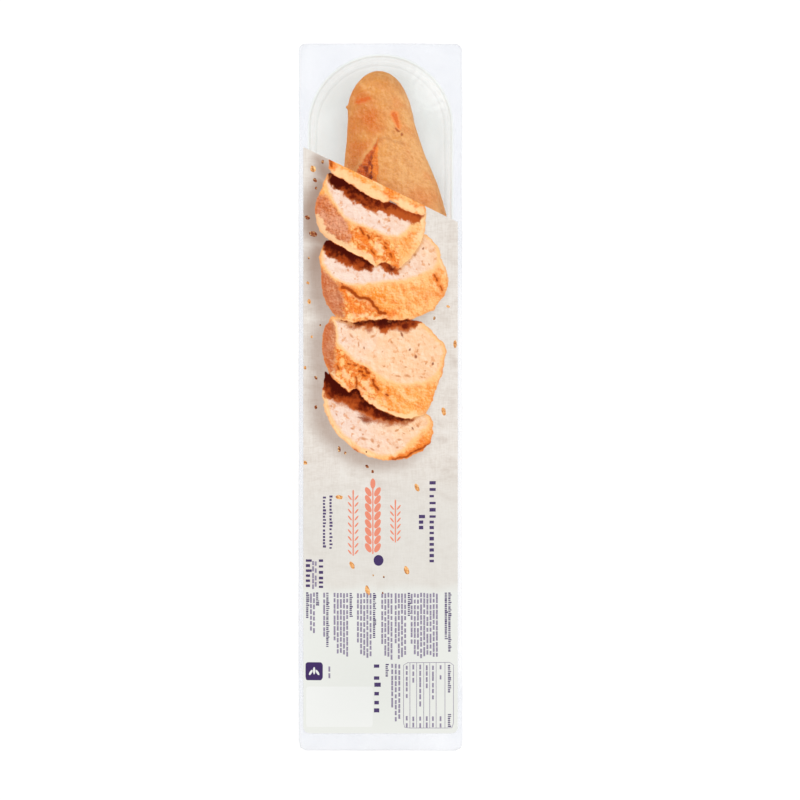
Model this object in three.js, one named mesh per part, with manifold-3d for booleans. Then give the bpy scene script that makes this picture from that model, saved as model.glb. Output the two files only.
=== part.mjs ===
// A part-baked baguette in its sealed pack: a formed clear tray, the loaf lying in it, a lidding film
// welded over the flange and a printed label stuck on the film.
// Millimetres, +Z up. The pack lies on its tray: X is its width, Y its length with the rounded head at +Y.
// The origin is the middle of the pack's footprint, on the surface that the tray rests on.

import * as THREE from "three";
import { mergeVertices } from "three/addons/utils/BufferGeometryUtils.js";
import Module from "manifold-3d";

// ---- Driving dimensions ----

const PACK = { length: 400, width: 93, cornerRadius: 4 };
const FITTING_GAP = 0.3; // the air left between pieces that touch

const TRAY = {
  depth: 46, // from the underside of the floor to the top of the flange
  wall: 0.5,
  width: 82.4, // of the cavity where it meets the flange, on the outer surface
  headY: 193.8, // where the rounded head of the cavity ends
  footY: -189, // where the squared foot of the cavity ends
  footRadius: 12, // of the two corners at the foot
  draft: Math.tan(THREE.MathUtils.degToRad(1.5)),
  floorRadius: 9,
  lipRadius: 1.2,
  facets: { head: 28, corner: 5, floor: 5, lip: 3 },
};

const LOAF = {
  headY: 186,
  footY: -178,
  halfWidth: 31.5,
  height: 49.5,
  widestAt: 0.38, // share of the height where a section is widest
  topPower: 0.9, // near 1 is an ellipse: the top is domed
  undersidePower: 2 / 3, // smaller is squarer: the underside is flatter
  headNose: { radius: 22, halfWidth: 16.2, taper: 100 },
  footNose: { radius: 24, halfWidth: 17.5, taper: 118 },
  noseHeight: 0.62, // height behind a nose, as a share of the full height
  tipLift: 2.5, // how far the underside rises towards a tip
  tipLiftLength: 60,
  offset: -1.6, // of its middle line from the pack's, where it doesn't bow
  bows: [
    { y: 100, reach: 44, sideways: 8.7 },
    { y: -110, reach: 50, sideways: 3 },
  ],
  facets: { along: 60, round: 32 },
};

const SCORES = {
  offsets: [-17.4, -8, -6, -7], // of the middle of each cut from the loaf's middle line, from the head on
  firstY: 113, // middle of the cut nearest the head
  pitch: 71,
  length: 72,
  width: 16,
  depth: 2.8,
  deepestAcross: -0.2, // where a cut is deepest, in half widths from its middle
  earHeight: 1.3, // of the lip that the oven lifts beside each cut
  earAcross: 1.25, // where it stands, in half widths from the middle of the cut
  taper: 1.6, // above 1 draws the ends of a cut out to points
  lean: THREE.MathUtils.degToRad(16), // between a cut and the length of the loaf
};

const LID = {
  thickness: 0.3,
  crown: 7, // how far it swells over the loaf
  crownPower: 1.2, // above 1 lets it leave the flange gently
  crownEase: 60, // the length over which it swells, at the foot
  facetsAcross: 14, // of the film, and of the label that follows it
};

const LABEL = {
  thickness: 0.2,
  halfWidth: 43.6,
  footY: -190,
  cornerRadius: 3.5,
  slantY: 120, // where the slanted head edge crosses the middle of the pack
  slant: -0.486, // its rise for each millimetre across
};

const COLOURS = { crust: "#e6a465", film: "#eef2f6", label: "#e3ddd6" };

const wasm = await Module();
wasm.setup();

// ---- Small helpers ----

const smooth = (t) => THREE.MathUtils.smoothstep(t, 0, 1);

function signedPower(value, exponent) {
  return Math.sign(value) * Math.abs(value) ** exponent;
}

// A closed mesh geometry as a manifold-3d solid.
function toSolid(geometry) {
  const bare = geometry.clone();
  bare.deleteAttribute("normal");
  bare.deleteAttribute("uv");
  const merged = mergeVertices(bare, 1e-4);
  const mesh = new wasm.Mesh({
    numProp: 3,
    vertProperties: merged.attributes.position.array,
    triVerts: new Uint32Array(merged.index.array),
  });
  return new wasm.Manifold(mesh);
}

function toGeometry(solid) {
  const mesh = solid.getMesh();
  const geometry = new THREE.BufferGeometry();
  geometry.setAttribute("position", new THREE.BufferAttribute(mesh.vertProperties, 3));
  geometry.setIndex(new THREE.BufferAttribute(mesh.triVerts, 1));
  return flatShaded(geometry);
}

function flatShaded(geometry) {
  const loose = geometry.toNonIndexed();
  loose.computeVertexNormals();
  return loose;
}

// A closed skin over rings of equal point counts, each ring anticlockwise seen from the last one's side.
// The first and last rings are closed by a fan round their own middles.
function loft(rings) {
  const count = rings[0].length;
  const points = rings.flat();
  const faces = [];
  for (let r = 0; r + 1 < rings.length; r++) {
    for (let i = 0; i < count; i++) {
      const a = r * count + i;
      const b = r * count + ((i + 1) % count);
      faces.push(a, b, b + count, a, b + count, a + count);
    }
  }
  const closeRing = (start, flipped) => {
    const middle = new THREE.Vector3();
    for (let i = 0; i < count; i++) middle.add(points[start + i]);
    const hub = points.push(middle.divideScalar(count)) - 1;
    for (let i = 0; i < count; i++) {
      const a = start + i;
      const b = start + ((i + 1) % count);
      if (flipped) faces.push(hub, b, a);
      else faces.push(hub, a, b);
    }
  };
  closeRing(0, true);
  closeRing((rings.length - 1) * count, false);
  const geometry = new THREE.BufferGeometry().setFromPoints(points);
  geometry.setIndex(faces);
  return geometry;
}

// A thin closed sheet. place(u, row) gives a point of the sheet's plan, u running from 0 to 1 along
// each of the rows, and heightAt(x, y) is the height of the sheet's underside there.
function sheet(place, heightAt, thickness, columns, rows) {
  const side = columns + 1;
  const layer = side * rows.length;
  const points = [];
  for (const rise of [0, thickness]) {
    for (const row of rows) {
      for (let c = 0; c < side; c++) {
        const { x, y } = place(c / columns, row);
        points.push(new THREE.Vector3(x, y, heightAt(x, y) + rise));
      }
    }
  }
  const faces = [];
  const quad = (a, b, c, d) => faces.push(a, b, c, a, c, d);
  for (let r = 0; r + 1 < rows.length; r++) {
    for (let c = 0; c < columns; c++) {
      const a = r * side + c;
      quad(a, a + side, a + side + 1, a + 1);
      quad(layer + a, layer + a + 1, layer + a + side + 1, layer + a + side);
    }
  }
  const lastRow = (rows.length - 1) * side;
  for (let c = 0; c < columns; c++) {
    quad(c, c + 1, layer + c + 1, layer + c);
    quad(lastRow + c + 1, lastRow + c, layer + lastRow + c, layer + lastRow + c + 1);
  }
  for (let r = 0; r + 1 < rows.length; r++) {
    const left = r * side;
    const right = left + columns;
    quad(left + side, left, layer + left, layer + left + side);
    quad(right, right + side, layer + right + side, layer + right);
  }
  const geometry = new THREE.BufferGeometry().setFromPoints(points);
  geometry.setIndex(faces);
  return geometry;
}

// Positions through successive spans, each span given as [where it ends, how many steps it is cut into].
function stepsThrough(start, spans) {
  const positions = [start];
  for (const [end, steps] of spans) {
    const from = positions.at(-1);
    for (let i = 1; i <= steps; i++) positions.push(from + ((end - from) * i) / steps);
  }
  return positions;
}

// Half the width of a strip with rounded corners, at a distance in from its end.
function roundedHalfWidth(halfWidth, radius, fromEnd) {
  if (fromEnd >= radius) return halfWidth;
  const short = radius - Math.max(fromEnd, 0);
  return halfWidth - radius + Math.sqrt(radius * radius - short * short);
}

// ---- Tray ----

const headCentreY = TRAY.headY - TRAY.width / 2;

function arc(x, y, radius, startTurn, endTurn, facets) {
  const path = new THREE.Path();
  path.absarc(x, y, radius, startTurn * Math.PI, endTurn * Math.PI, false);
  return path.getPoints(facets);
}

// The cavity's outline, drawn in by inset: a half circle at the head and two small corners at the foot.
function cavityRing(inset, z) {
  const half = TRAY.width / 2 - inset;
  const radius = Math.max(TRAY.footRadius - inset, 2);
  const footCentreY = TRAY.footY + inset + radius;
  const ring = [
    ...arc(0, headCentreY, half, 0, 1, TRAY.facets.head),
    ...arc(-half + radius, footCentreY, radius, 1, 1.5, TRAY.facets.corner),
    ...arc(half - radius, footCentreY, radius, 1.5, 2, TRAY.facets.corner),
  ];
  return ring.map((p) => new THREE.Vector3(p.x, p.y, z));
}

// The room inside one surface of the tray's wall, up to topZ: the surface that lies inwards of the
// outer one by shell.
function cavityBody(shell, topZ) {
  const wallInset = (z) => shell + TRAY.lipRadius + TRAY.draft * (TRAY.depth - z);
  const quarterTurns = (steps) => Array.from({ length: steps + 1 }, (_, i) => (0.5 * Math.PI * i) / steps);
  const fillet = TRAY.floorRadius - shell;
  const rings = [];
  for (const turn of quarterTurns(TRAY.facets.floor)) {
    const z = shell + fillet * (1 - Math.cos(turn));
    rings.push(cavityRing(wallInset(z) + fillet * (1 - Math.sin(turn)), z));
  }
  for (const turn of quarterTurns(TRAY.facets.lip)) {
    const z = TRAY.depth - TRAY.lipRadius * (1 - Math.sin(turn));
    rings.push(cavityRing(wallInset(z) - TRAY.lipRadius * (1 - Math.cos(turn)), z));
  }
  if (topZ > TRAY.depth) rings.push(rings.at(-1).map((p) => p.clone().setZ(topZ)));
  return toSolid(loft(rings));
}

function packOutline() {
  const { length, width, cornerRadius: r } = PACK;
  const [x, y] = [width / 2, length / 2];
  const outline = new THREE.Shape();
  outline.moveTo(-x + r, -y);
  outline.lineTo(x - r, -y);
  outline.absarc(x - r, -y + r, r, -0.5 * Math.PI, 0, false);
  outline.lineTo(x, y - r);
  outline.absarc(x - r, y - r, r, 0, 0.5 * Math.PI, false);
  outline.lineTo(-x + r, y);
  outline.absarc(-x + r, y - r, r, 0.5 * Math.PI, Math.PI, false);
  outline.lineTo(-x, -y + r);
  outline.absarc(-x + r, -y + r, r, Math.PI, 1.5 * Math.PI, false);
  return outline;
}

function trayGeometry() {
  const plate = new THREE.ExtrudeGeometry(packOutline(), {
    depth: TRAY.wall,
    bevelEnabled: false,
    curveSegments: 6,
  });
  plate.translate(0, 0, TRAY.depth - TRAY.wall);
  const outside = cavityBody(0, TRAY.depth).add(toSolid(plate));
  return toGeometry(outside.subtract(cavityBody(TRAY.wall, TRAY.depth + 1)));
}

// ---- Loaf ----

// How full the loaf is at a distance from one tip: its rounded nose, and the taper behind it.
function noseAt(distance, nose) {
  const near = Math.min(distance / nose.radius, 1);
  const round = Math.sqrt(Math.max(1 - (1 - near) ** 2, 0));
  const narrow = nose.halfWidth / LOAF.halfWidth;
  const swell = smooth(distance / nose.taper);
  return {
    round,
    width: narrow + (1 - narrow) * swell,
    height: LOAF.noseHeight + (1 - LOAF.noseHeight) * swell,
  };
}

// Where the middle line of the loaf runs: it bows to one side behind the head, and again at the foot.
function middleX(y) {
  const bowed = LOAF.bows.map((bow) => bow.sideways * Math.exp(-(((y - bow.y) / bow.reach) ** 2)));
  return bowed.reduce((sum, sideways) => sum + sideways, LOAF.offset);
}

// Height that the scoring adds to the crust at (x, y): opened grooves, each with an ear along one side.
function scoreRelief(x, y) {
  const [sine, cosine] = [Math.sin(SCORES.lean), Math.cos(SCORES.lean)];
  let relief = 0;
  for (const [i, offset] of SCORES.offsets.entries()) {
    const middleY = SCORES.firstY - i * SCORES.pitch;
    const dx = x - middleX(middleY) - offset;
    const dy = y - middleY;
    const along = (dx * sine + dy * cosine) / (SCORES.length / 2);
    const across = (dx * cosine - dy * sine) / (SCORES.width / 2);
    if (Math.abs(along) >= 1) continue;
    const open = (1 - along * along) ** SCORES.taper;
    const groove = SCORES.depth * Math.exp(-2.6 * (across - SCORES.deepestAcross) ** 2);
    const ear = SCORES.earHeight * Math.exp(-8 * (across - SCORES.earAcross) ** 2);
    relief += open * (ear - groove);
  }
  return relief;
}

function loafRing(y, baseZ) {
  const head = noseAt(LOAF.headY - y, LOAF.headNose);
  const foot = noseAt(y - LOAF.footY, LOAF.footNose);
  const round = head.round * foot.round;
  const halfWidth = LOAF.halfWidth * head.width * foot.width * round;
  const tipDistance = Math.min(LOAF.headY - y, y - LOAF.footY);
  const lift = LOAF.tipLift * (1 - smooth(tipDistance / LOAF.tipLiftLength));
  const height = LOAF.height * head.height * foot.height - lift;
  const widestZ = baseZ + lift + LOAF.widestAt * height;
  const ring = [];
  for (let i = 0; i < LOAF.facets.round; i++) {
    const turn = (2 * Math.PI * i) / LOAF.facets.round;
    const isTop = Math.sin(turn) >= 0;
    const power = isTop ? LOAF.topPower : LOAF.undersidePower;
    const x = middleX(y) + halfWidth * signedPower(Math.cos(turn), power);
    const up = signedPower(Math.sin(turn), power);
    const reach = (isTop ? 1 - LOAF.widestAt : LOAF.widestAt) * height * round;
    const relief = isTop ? scoreRelief(x, y) * up * round : 0;
    ring.push(new THREE.Vector3(x, y, widestZ + reach * up + relief));
  }
  return ring;
}

// Rings from head to foot. They crowd towards the tips, where the outline turns fastest.
function loafGeometry() {
  const baseZ = TRAY.wall + FITTING_GAP;
  const middleY = (LOAF.headY + LOAF.footY) / 2;
  const halfLength = (LOAF.headY - LOAF.footY) / 2;
  const rings = [];
  for (let i = 1; i < LOAF.facets.along; i++) {
    rings.push(loafRing(middleY + halfLength * Math.cos((Math.PI * i) / LOAF.facets.along), baseZ));
  }
  return flatShaded(loft(rings));
}

// ---- Lidding film and label ----

// How far the film swells over the cavity at (x, y): nothing on the flange, most along the middle.
function filmSwell(x, y) {
  const half = TRAY.width / 2;
  const pastHead = Math.max(y - headCentreY, 0);
  const edge = 1 - (x * x + pastHead * pastHead) / (half * half);
  if (edge <= 0 || y <= TRAY.footY) return 0;
  return LID.crown * edge ** LID.crownPower * smooth((y - TRAY.footY) / LID.crownEase);
}

const lidUnderside = (x, y) => TRAY.depth + FITTING_GAP + filmSwell(x, y);
const labelUnderside = (x, y) => lidUnderside(x, y) + LID.thickness + FITTING_GAP;

function lidGeometry() {
  const halfLength = PACK.length / 2;
  const place = (u, y) => {
    const half = roundedHalfWidth(PACK.width / 2, PACK.cornerRadius, halfLength - Math.abs(y));
    return { x: (2 * u - 1) * half, y };
  };
  const rows = stepsThrough(-halfLength, [
    [-halfLength + PACK.cornerRadius, 3],
    [TRAY.footY, 1],
    [TRAY.footY + LID.crownEase, 8],
    [headCentreY, 6],
    [TRAY.headY, 8],
    [halfLength - PACK.cornerRadius, 1],
    [halfLength, 3],
  ]);
  return flatShaded(sheet(place, lidUnderside, LID.thickness, LID.facetsAcross, rows));
}

function labelGeometry() {
  const length = LABEL.slantY - LABEL.footY; // along the middle
  const place = (u, fromFoot) => {
    const half = roundedHalfWidth(LABEL.halfWidth, LABEL.cornerRadius, fromFoot);
    const x = (2 * u - 1) * half;
    const stretch = 1 + (LABEL.slant * x) / length;
    return { x, y: LABEL.footY + fromFoot * stretch };
  };
  const rows = stepsThrough(0, [
    [LABEL.cornerRadius, 3],
    [LID.crownEase, 8],
    [length, 9],
  ]);
  return flatShaded(sheet(place, labelUnderside, LABEL.thickness, LID.facetsAcross, rows));
}

// ---- The pack ----

const crust = new THREE.MeshStandardMaterial({ color: COLOURS.crust, roughness: 0.85, metalness: 0 });
const film = new THREE.MeshStandardMaterial({
  color: COLOURS.film,
  roughness: 0.15,
  metalness: 0,
  transparent: true,
  opacity: 0.3,
});
const print = new THREE.MeshStandardMaterial({ color: COLOURS.label, roughness: 0.45, metalness: 0 });

function named(name, geometry, material) {
  const mesh = new THREE.Mesh(geometry, material);
  mesh.name = name;
  return mesh;
}

const pack = new THREE.Group();
pack.add(
  named("tray", trayGeometry(), film),
  named("loaf", loafGeometry(), crust),
  named("lid_film", lidGeometry(), film.clone()),
  named("front_label", labelGeometry(), print),
);

export default pack;
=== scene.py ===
"""Looks of a part-baked baguette in its sealed pack: loaf, clear tray, lidding film and printed label.

Shapes are worked out in millimetres and stored in metres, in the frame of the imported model.
"""

import math

import bpy
import numpy as np
from mathutils.geometry import delaunay_2d_cdt
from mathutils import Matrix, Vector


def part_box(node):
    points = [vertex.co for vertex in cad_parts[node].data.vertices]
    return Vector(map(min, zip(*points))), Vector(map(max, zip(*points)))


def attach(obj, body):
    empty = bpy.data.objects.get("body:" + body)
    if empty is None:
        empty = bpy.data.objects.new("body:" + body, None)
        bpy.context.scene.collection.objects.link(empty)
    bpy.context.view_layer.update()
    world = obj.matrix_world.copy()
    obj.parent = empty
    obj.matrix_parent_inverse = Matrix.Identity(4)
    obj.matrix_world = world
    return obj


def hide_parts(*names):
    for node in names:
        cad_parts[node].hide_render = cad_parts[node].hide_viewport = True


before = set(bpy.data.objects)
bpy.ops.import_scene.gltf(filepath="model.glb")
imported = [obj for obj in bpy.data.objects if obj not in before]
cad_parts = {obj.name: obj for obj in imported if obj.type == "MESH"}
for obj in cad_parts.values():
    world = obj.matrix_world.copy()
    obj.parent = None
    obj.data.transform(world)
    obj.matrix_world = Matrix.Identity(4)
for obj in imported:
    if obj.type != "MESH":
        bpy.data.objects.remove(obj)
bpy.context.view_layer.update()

bl_info = {
    "name": "Packaged Baguette",
    "version": (1, 0, 0),
    "blender": (4, 5, 0),
    "location": "3D View > Sidebar > Baguette",
    "description": "A part-baked baguette in a clear sealed pack with a printed label",
    "category": "Add Mesh",
}

MM = 0.001
BODY = "root"

# ---- Sizes that the solids share with the looks, in millimetres ----

PACK_HALF_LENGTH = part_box("tray")[1].y / MM
PACK_HALF_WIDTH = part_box("tray")[1].x / MM
TRAY_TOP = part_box("tray")[1].z / MM
PACK_CORNER = 4.0
CAVITY_HALF_WIDTH = 41.2
CAVITY_HEAD = 193.8
CAVITY_FOOT = -189.0
CAVITY_FOOT_RADIUS = 12.0
HEAD_CENTRE = CAVITY_HEAD - CAVITY_HALF_WIDTH
WALL_DRAFT = math.tan(math.radians(1.5))
FLOOR_RADIUS = 9.0
LIP_RADIUS = 1.2

LID_REST = TRAY_TOP + 0.06
LID_SWELL = 7.0
LID_SWELL_POWER = 1.2
LID_SWELL_EASE = 60.0
LID_THICKNESS = 0.16

LABEL_HALF_WIDTH = 43.6
LABEL_FOOT = -190.0
LABEL_CORNER = 3.5
LABEL_SLANT_Y = 120.0
LABEL_SLANT = -0.486
LABEL_REST = LID_REST + LID_THICKNESS + 0.05
LABEL_THICKNESS = 0.14

LOAF_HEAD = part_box("loaf")[1].y / MM
LOAF_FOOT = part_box("loaf")[0].y / MM
LOAF_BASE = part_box("loaf")[0].z / MM
LOAF_HALF_WIDTH = 31.5
LOAF_HEIGHT = 49.5
LOAF_WIDEST_AT = 0.38
LOAF_OFFSET = -1.6
LOAF_BOWS = ((100.0, 44.0, 8.7), (-110.0, 50.0, 3.0))
HEAD_NOSE = (22.0, 16.2, 100.0)
FOOT_NOSE = (24.0, 17.5, 118.0)
NOSE_HEIGHT = 0.62
LOAF_AROUND = 200
# The relief stays this close to the middle of the tray and this high above the floor, inside the tray.
LOAF_REACH = 37.9
LOAF_LOWEST = 0.55

CUT_COUNT = 4
CUT_FIRST_Y = 113.0
CUT_PITCH = 71.0
CUT_HALF_LENGTH = 36.0
CUT_OFFSETS = (-17.4, -8.0, -6.0, -7.0)
CUT_LEAN = math.radians(16.0)

FLOOR_REACH = 3000.0
FLOOR_Z = -0.4
VIEW_SIDE = 452.0
VIEW_X = 11.0
VIEW_Y = -1.7


# ---- Colours ----


def seen(red, green, blue):
    """The base colour that shows as this screen colour under the stage's lights."""
    light = 1.08
    screen = np.array((red, green, blue)) / 255
    linear = np.where(screen > 0.04045, ((screen + 0.055) / 1.055) ** 2.4, screen / 12.92)
    return tuple(np.clip(linear / light, 0, 1).round(4).tolist())


# ---- Numbers over many points at once ----


def smooth(value, low=0.0, high=1.0):
    t = np.clip((value - low) / (high - low), 0, 1)
    return t * t * (3 - 2 * t)


def noise(points, size, seed=0):
    """Smooth noise from -1 to 1 with features of the given size, for points of shape (n, 2) or (n, 3)."""
    grid = points / size + seed * 17.31
    cell = np.floor(grid).astype(np.int64)
    part = grid - cell
    part = part * part * (3 - 2 * part)
    axes = points.shape[1]
    primes = np.array((73856093, 19349663, 83492791))[:axes]
    total = np.zeros(len(points))
    for corner in range(2**axes):
        step = np.array([(corner >> axis) & 1 for axis in range(axes)])
        mixed = ((cell + step) * primes).sum(1) ^ (seed * 2654435761)
        mixed = (mixed ^ (mixed >> 13)) * 1274126177
        mixed = (mixed ^ (mixed >> 16)) & 0xFFFF
        share = np.where(step, part, 1 - part).prod(1)
        total += share * (mixed / 32767.5 - 1)
    return total


def fractal(points, size, octaves=3, seed=0):
    total = np.zeros(len(points))
    for octave in range(octaves):
        total += noise(points, size / 2**octave, seed + octave) / 2**octave
    return total


def polygon_distance(points, corners):
    """Distance in from the edge of a closed outline: positive inside it and negative outside."""
    corners = np.array(corners, float)
    nearest = np.full(len(points), 1e9)
    inside = np.zeros(len(points), bool)
    x, y = points[:, 0], points[:, 1]
    for (ax, ay), (bx, by) in zip(corners, np.roll(corners, -1, 0)):
        nearest = np.minimum(nearest, segment_distance(points, (ax, ay), (bx, by)))
        crosses = (ay > y) != (by > y)
        rise = by - ay if by != ay else 1e-9
        inside ^= crosses & (x < ax + (bx - ax) * (y - ay) / rise)
    return np.where(inside, nearest, -nearest)


def segment_distance(points, start, end):
    start, end = np.array(start, float), np.array(end, float)
    run = end - start
    t = np.clip(((points - start) @ run) / max(run @ run, 1e-9), 0, 1)
    return np.linalg.norm(points - start - t[:, None] * run, axis=1)


def line_distance(points, corners):
    return np.min([segment_distance(points, a, b) for a, b in zip(corners, corners[1:])], 0)


def oval_depth(points, x, y, width, stretch, turn):
    """1 in the middle of an oval, 0 on its edge and less outside it."""
    turn = math.radians(turn)
    dx, dy = points[:, 0] - x, points[:, 1] - y
    across = (dx * math.cos(turn) + dy * math.sin(turn)) / (0.5 * width)
    along = (dy * math.cos(turn) - dx * math.sin(turn)) / (0.5 * width * stretch)
    return np.maximum(1 - np.hypot(across, along), -2.0)


def blob(points, x, y, reach_x, reach_y):
    """A soft spot, 1 at its middle and fading over its reach."""
    return np.exp(-(((points[:, 0] - x) / reach_x) ** 2) - ((points[:, 1] - y) / reach_y) ** 2)


# ---- Surfaces that several pieces follow ----


def film_swell(x, y):
    """How far the lidding film stands above the flange."""
    past_head = np.maximum(y - HEAD_CENTRE, 0)
    edge = np.clip(1 - (x * x + past_head * past_head) / CAVITY_HALF_WIDTH**2, 0, 1)
    return LID_SWELL * edge**LID_SWELL_POWER * smooth(y, CAVITY_FOOT, CAVITY_FOOT + LID_SWELL_EASE)


def film_ripple(x, y):
    """The film isn't quite flat: long shallow waves, pulled into short creases round the rounded head."""
    points = np.stack((x, y), 1)
    swell = np.clip(film_swell(x, y) / LID_SWELL, 0, 1)
    waves = 0.3 * noise(points, 34, 3) + 0.08 * noise(points, 13, 4)
    turn = np.arctan2(y - HEAD_CENTRE, x)
    ring = np.hypot(x, np.maximum(y - HEAD_CENTRE, 0))
    creases = np.sin(turn * 46 + 3 * noise(points, 21, 5)) * smooth(y, HEAD_CENTRE - 10, HEAD_CENTRE + 20)
    creases *= np.exp(-(((ring - 35) / 5) ** 2))
    return waves * np.sqrt(swell) + 0.05 * creases


def film_rise(x, y):
    """The height of the lidding film above the flange, with its ripple fading out where it is welded."""
    swell = film_swell(x, y)
    return swell + film_ripple(x, y) * smooth(swell, 0, 0.6)


# How many points a cavity ring has round its head and along each side, foot corner and foot.
HEAD_POINTS = 160
SIDE_POINTS = 84
CORNER_POINTS = 12
FOOT_POINTS = 16
# How many rings the tray and the lidding film have from the cut edge of the pack to its middle.
FLANGE_RINGS = 5
LIP_RINGS = 7
WALL_RINGS = 12
BEND_RINGS = 12
FLOOR_RINGS = 14
FLOOR_MIDDLE = 39.5
LID_RINGS = 44
LID_MIDDLE = 39.8


def cavity_ring(inset):
    """The outline of the cavity drawn in by inset, as points with the directions that lead outwards."""
    half = CAVITY_HALF_WIDTH - inset
    radius = max(CAVITY_FOOT_RADIUS - inset, 1.0)
    foot = CAVITY_FOOT + inset
    points, outward = [], []

    def corner(centre_x, centre_y, size, start, end, count):
        for turn in np.linspace(start, end, count, endpoint=False):
            way = (math.cos(turn), math.sin(turn))
            points.append((centre_x + size * way[0], centre_y + size * way[1]))
            outward.append(way)

    def side(start, end, way, count):
        for t in np.linspace(0, 1, count, endpoint=False):
            points.append((start[0] + (end[0] - start[0]) * t, start[1] + (end[1] - start[1]) * t))
            outward.append(way)

    corner(0, HEAD_CENTRE, half, 0, math.pi, HEAD_POINTS)
    side((-half, HEAD_CENTRE), (-half, foot + radius), (-1, 0), SIDE_POINTS)
    corner(-half + radius, foot + radius, radius, math.pi, 1.5 * math.pi, CORNER_POINTS)
    side((-half + radius, foot), (half - radius, foot), (0, -1), FOOT_POINTS)
    corner(half - radius, foot + radius, radius, 1.5 * math.pi, 2 * math.pi, CORNER_POINTS)
    side((half, foot + radius), (half, HEAD_CENTRE), (1, 0), SIDE_POINTS)
    return np.array(points), np.array(outward)


def pack_edge():
    """The cut edge of the two films: a rounded rectangle that wavers a little, met along each outward way."""
    points, outward = cavity_ring(0)
    near, far = np.zeros(len(points)), np.full(len(points), 80.0)
    half = np.array((PACK_HALF_WIDTH, PACK_HALF_LENGTH))
    for _ in range(40):
        middle = (near + far) / 2
        at = points + middle[:, None] * outward
        slack = 0.32 + 0.22 * noise(at, 26, 8) + 0.1 * noise(at, 7, 9)
        past = np.abs(at) - (half - slack[:, None] - PACK_CORNER)
        outside = np.linalg.norm(np.maximum(past, 0), axis=1) + np.minimum(past.max(1), 0) > PACK_CORNER
        near = np.where(outside, near, middle)
        far = np.where(outside, middle, far)
    return points + near[:, None] * outward


def flange_rings(heights):
    """Rings from the pack's cut edge to the edge of the cavity, as x, y and the height that heights gives."""
    edge, (inner, _) = pack_edge(), cavity_ring(0)
    rings = []
    for t in np.linspace(0, 1, FLANGE_RINGS, endpoint=False):
        at = edge + (inner - edge) * t
        rings.append(np.column_stack((at, heights(at[:, 0], at[:, 1]))))
    return rings


# ---- Meshes ----


def mesh_object(name, points, faces, attributes=None, crisp=False):
    """A smooth-shaded object from points in millimetres, with sharp edges if it is to look crisp."""
    mesh = bpy.data.meshes.new(name)
    mesh.from_pydata((np.asarray(points) * MM).tolist(), [], [tuple(face) for face in faces])
    mesh.validate()
    for key, values in (attributes or {}).items():
        layer = mesh.attributes.new(key, "FLOAT", "POINT")
        layer.data.foreach_set("value", np.asarray(values, np.float32))
    mesh.shade_smooth()
    if crisp:
        mesh.set_sharp_from_angle(angle=math.radians(50))
    obj = bpy.data.objects.new(name, mesh)
    bpy.context.scene.collection.objects.link(obj)
    return obj


def ring_faces(ring_count, count):
    """Quads between rings of equal size, facing away from a ring's middle when the rings run from low to high."""
    r, i = np.meshgrid(np.arange(ring_count - 1), np.arange(count), indexing="ij")
    a = r * count + i
    b = r * count + (i + 1) % count
    return np.stack((a, b, b + count, a + count), -1).reshape(-1, 4).tolist()


def closing_faces(start, count):
    """Faces straight across a cavity ring, from its left side to its right, and one more along its foot."""
    foot = (HEAD_POINTS + count - FOOT_POINTS) // 2
    left = np.arange(HEAD_POINTS // 2, foot - 1)
    ring = np.stack((left, left + 1, HEAD_POINTS - left - 1, HEAD_POINTS - left), 1) % count + start
    faces = [tuple(face) for face in ring.tolist()]
    last = tuple(range(start + foot - 1, start + foot + FOOT_POINTS + 2))
    return [faces[0][:3]] + faces[1:] + [last]


def solidified(obj, thickness, offset):
    modifier = obj.modifiers.new("thickness", "SOLIDIFY")
    modifier.thickness = thickness * MM
    modifier.offset = offset
    return obj


def placed(obj, material, slot, *nodes):
    """Gives a finished piece its material and its body, and hides the solids it stands for."""
    if material:
        obj.data.materials.clear()
        obj.data.materials.append(material)
    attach(obj, BODY)
    if nodes:
        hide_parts(*nodes)
    return obj


# ---- Node trees ----


def opaque(colour):
    """A colour that is three numbers gets its alpha, and any other value stays as it is."""
    return (*colour, 1.0) if isinstance(colour, tuple) and len(colour) == 3 else colour


class Signal:
    """A number, colour or vector in a node tree. Python's operators join numbers with Math nodes."""

    def __init__(self, tree, socket):
        self.tree = tree
        self.socket = socket

    def maths(self, operation, *values):
        return self.tree.node("ShaderNodeMath", {"operation": operation}, dict(enumerate(values)))

    def __add__(self, other):
        return self.maths("ADD", self, other)

    def __radd__(self, other):
        return self.maths("ADD", other, self)

    def __sub__(self, other):
        return self.maths("SUBTRACT", self, other)

    def __rsub__(self, other):
        return self.maths("SUBTRACT", other, self)

    def __mul__(self, other):
        return self.maths("MULTIPLY", self, other)

    def __rmul__(self, other):
        return self.maths("MULTIPLY", other, self)

    def __pow__(self, other):
        return self.maths("POWER", self, other)

    def highest(self, other):
        return self.maths("MAXIMUM", self, other)

    def size(self):
        return self.maths("ABSOLUTE", self)

    def frayed(self, noise, amount):
        """Moves this up and down by noise, which frays the edges that are drawn from it."""
        return self + (noise - 0.5) * amount

    def between(self, low, high, start=0.0, end=1.0):
        """Runs smoothly from start to end as this runs from low to high."""
        return self.tree.node(
            "ShaderNodeMapRange",
            {"interpolation_type": "SMOOTHSTEP"},
            {"Value": self, "From Min": low, "From Max": high, "To Min": start, "To Max": end},
        )


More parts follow.
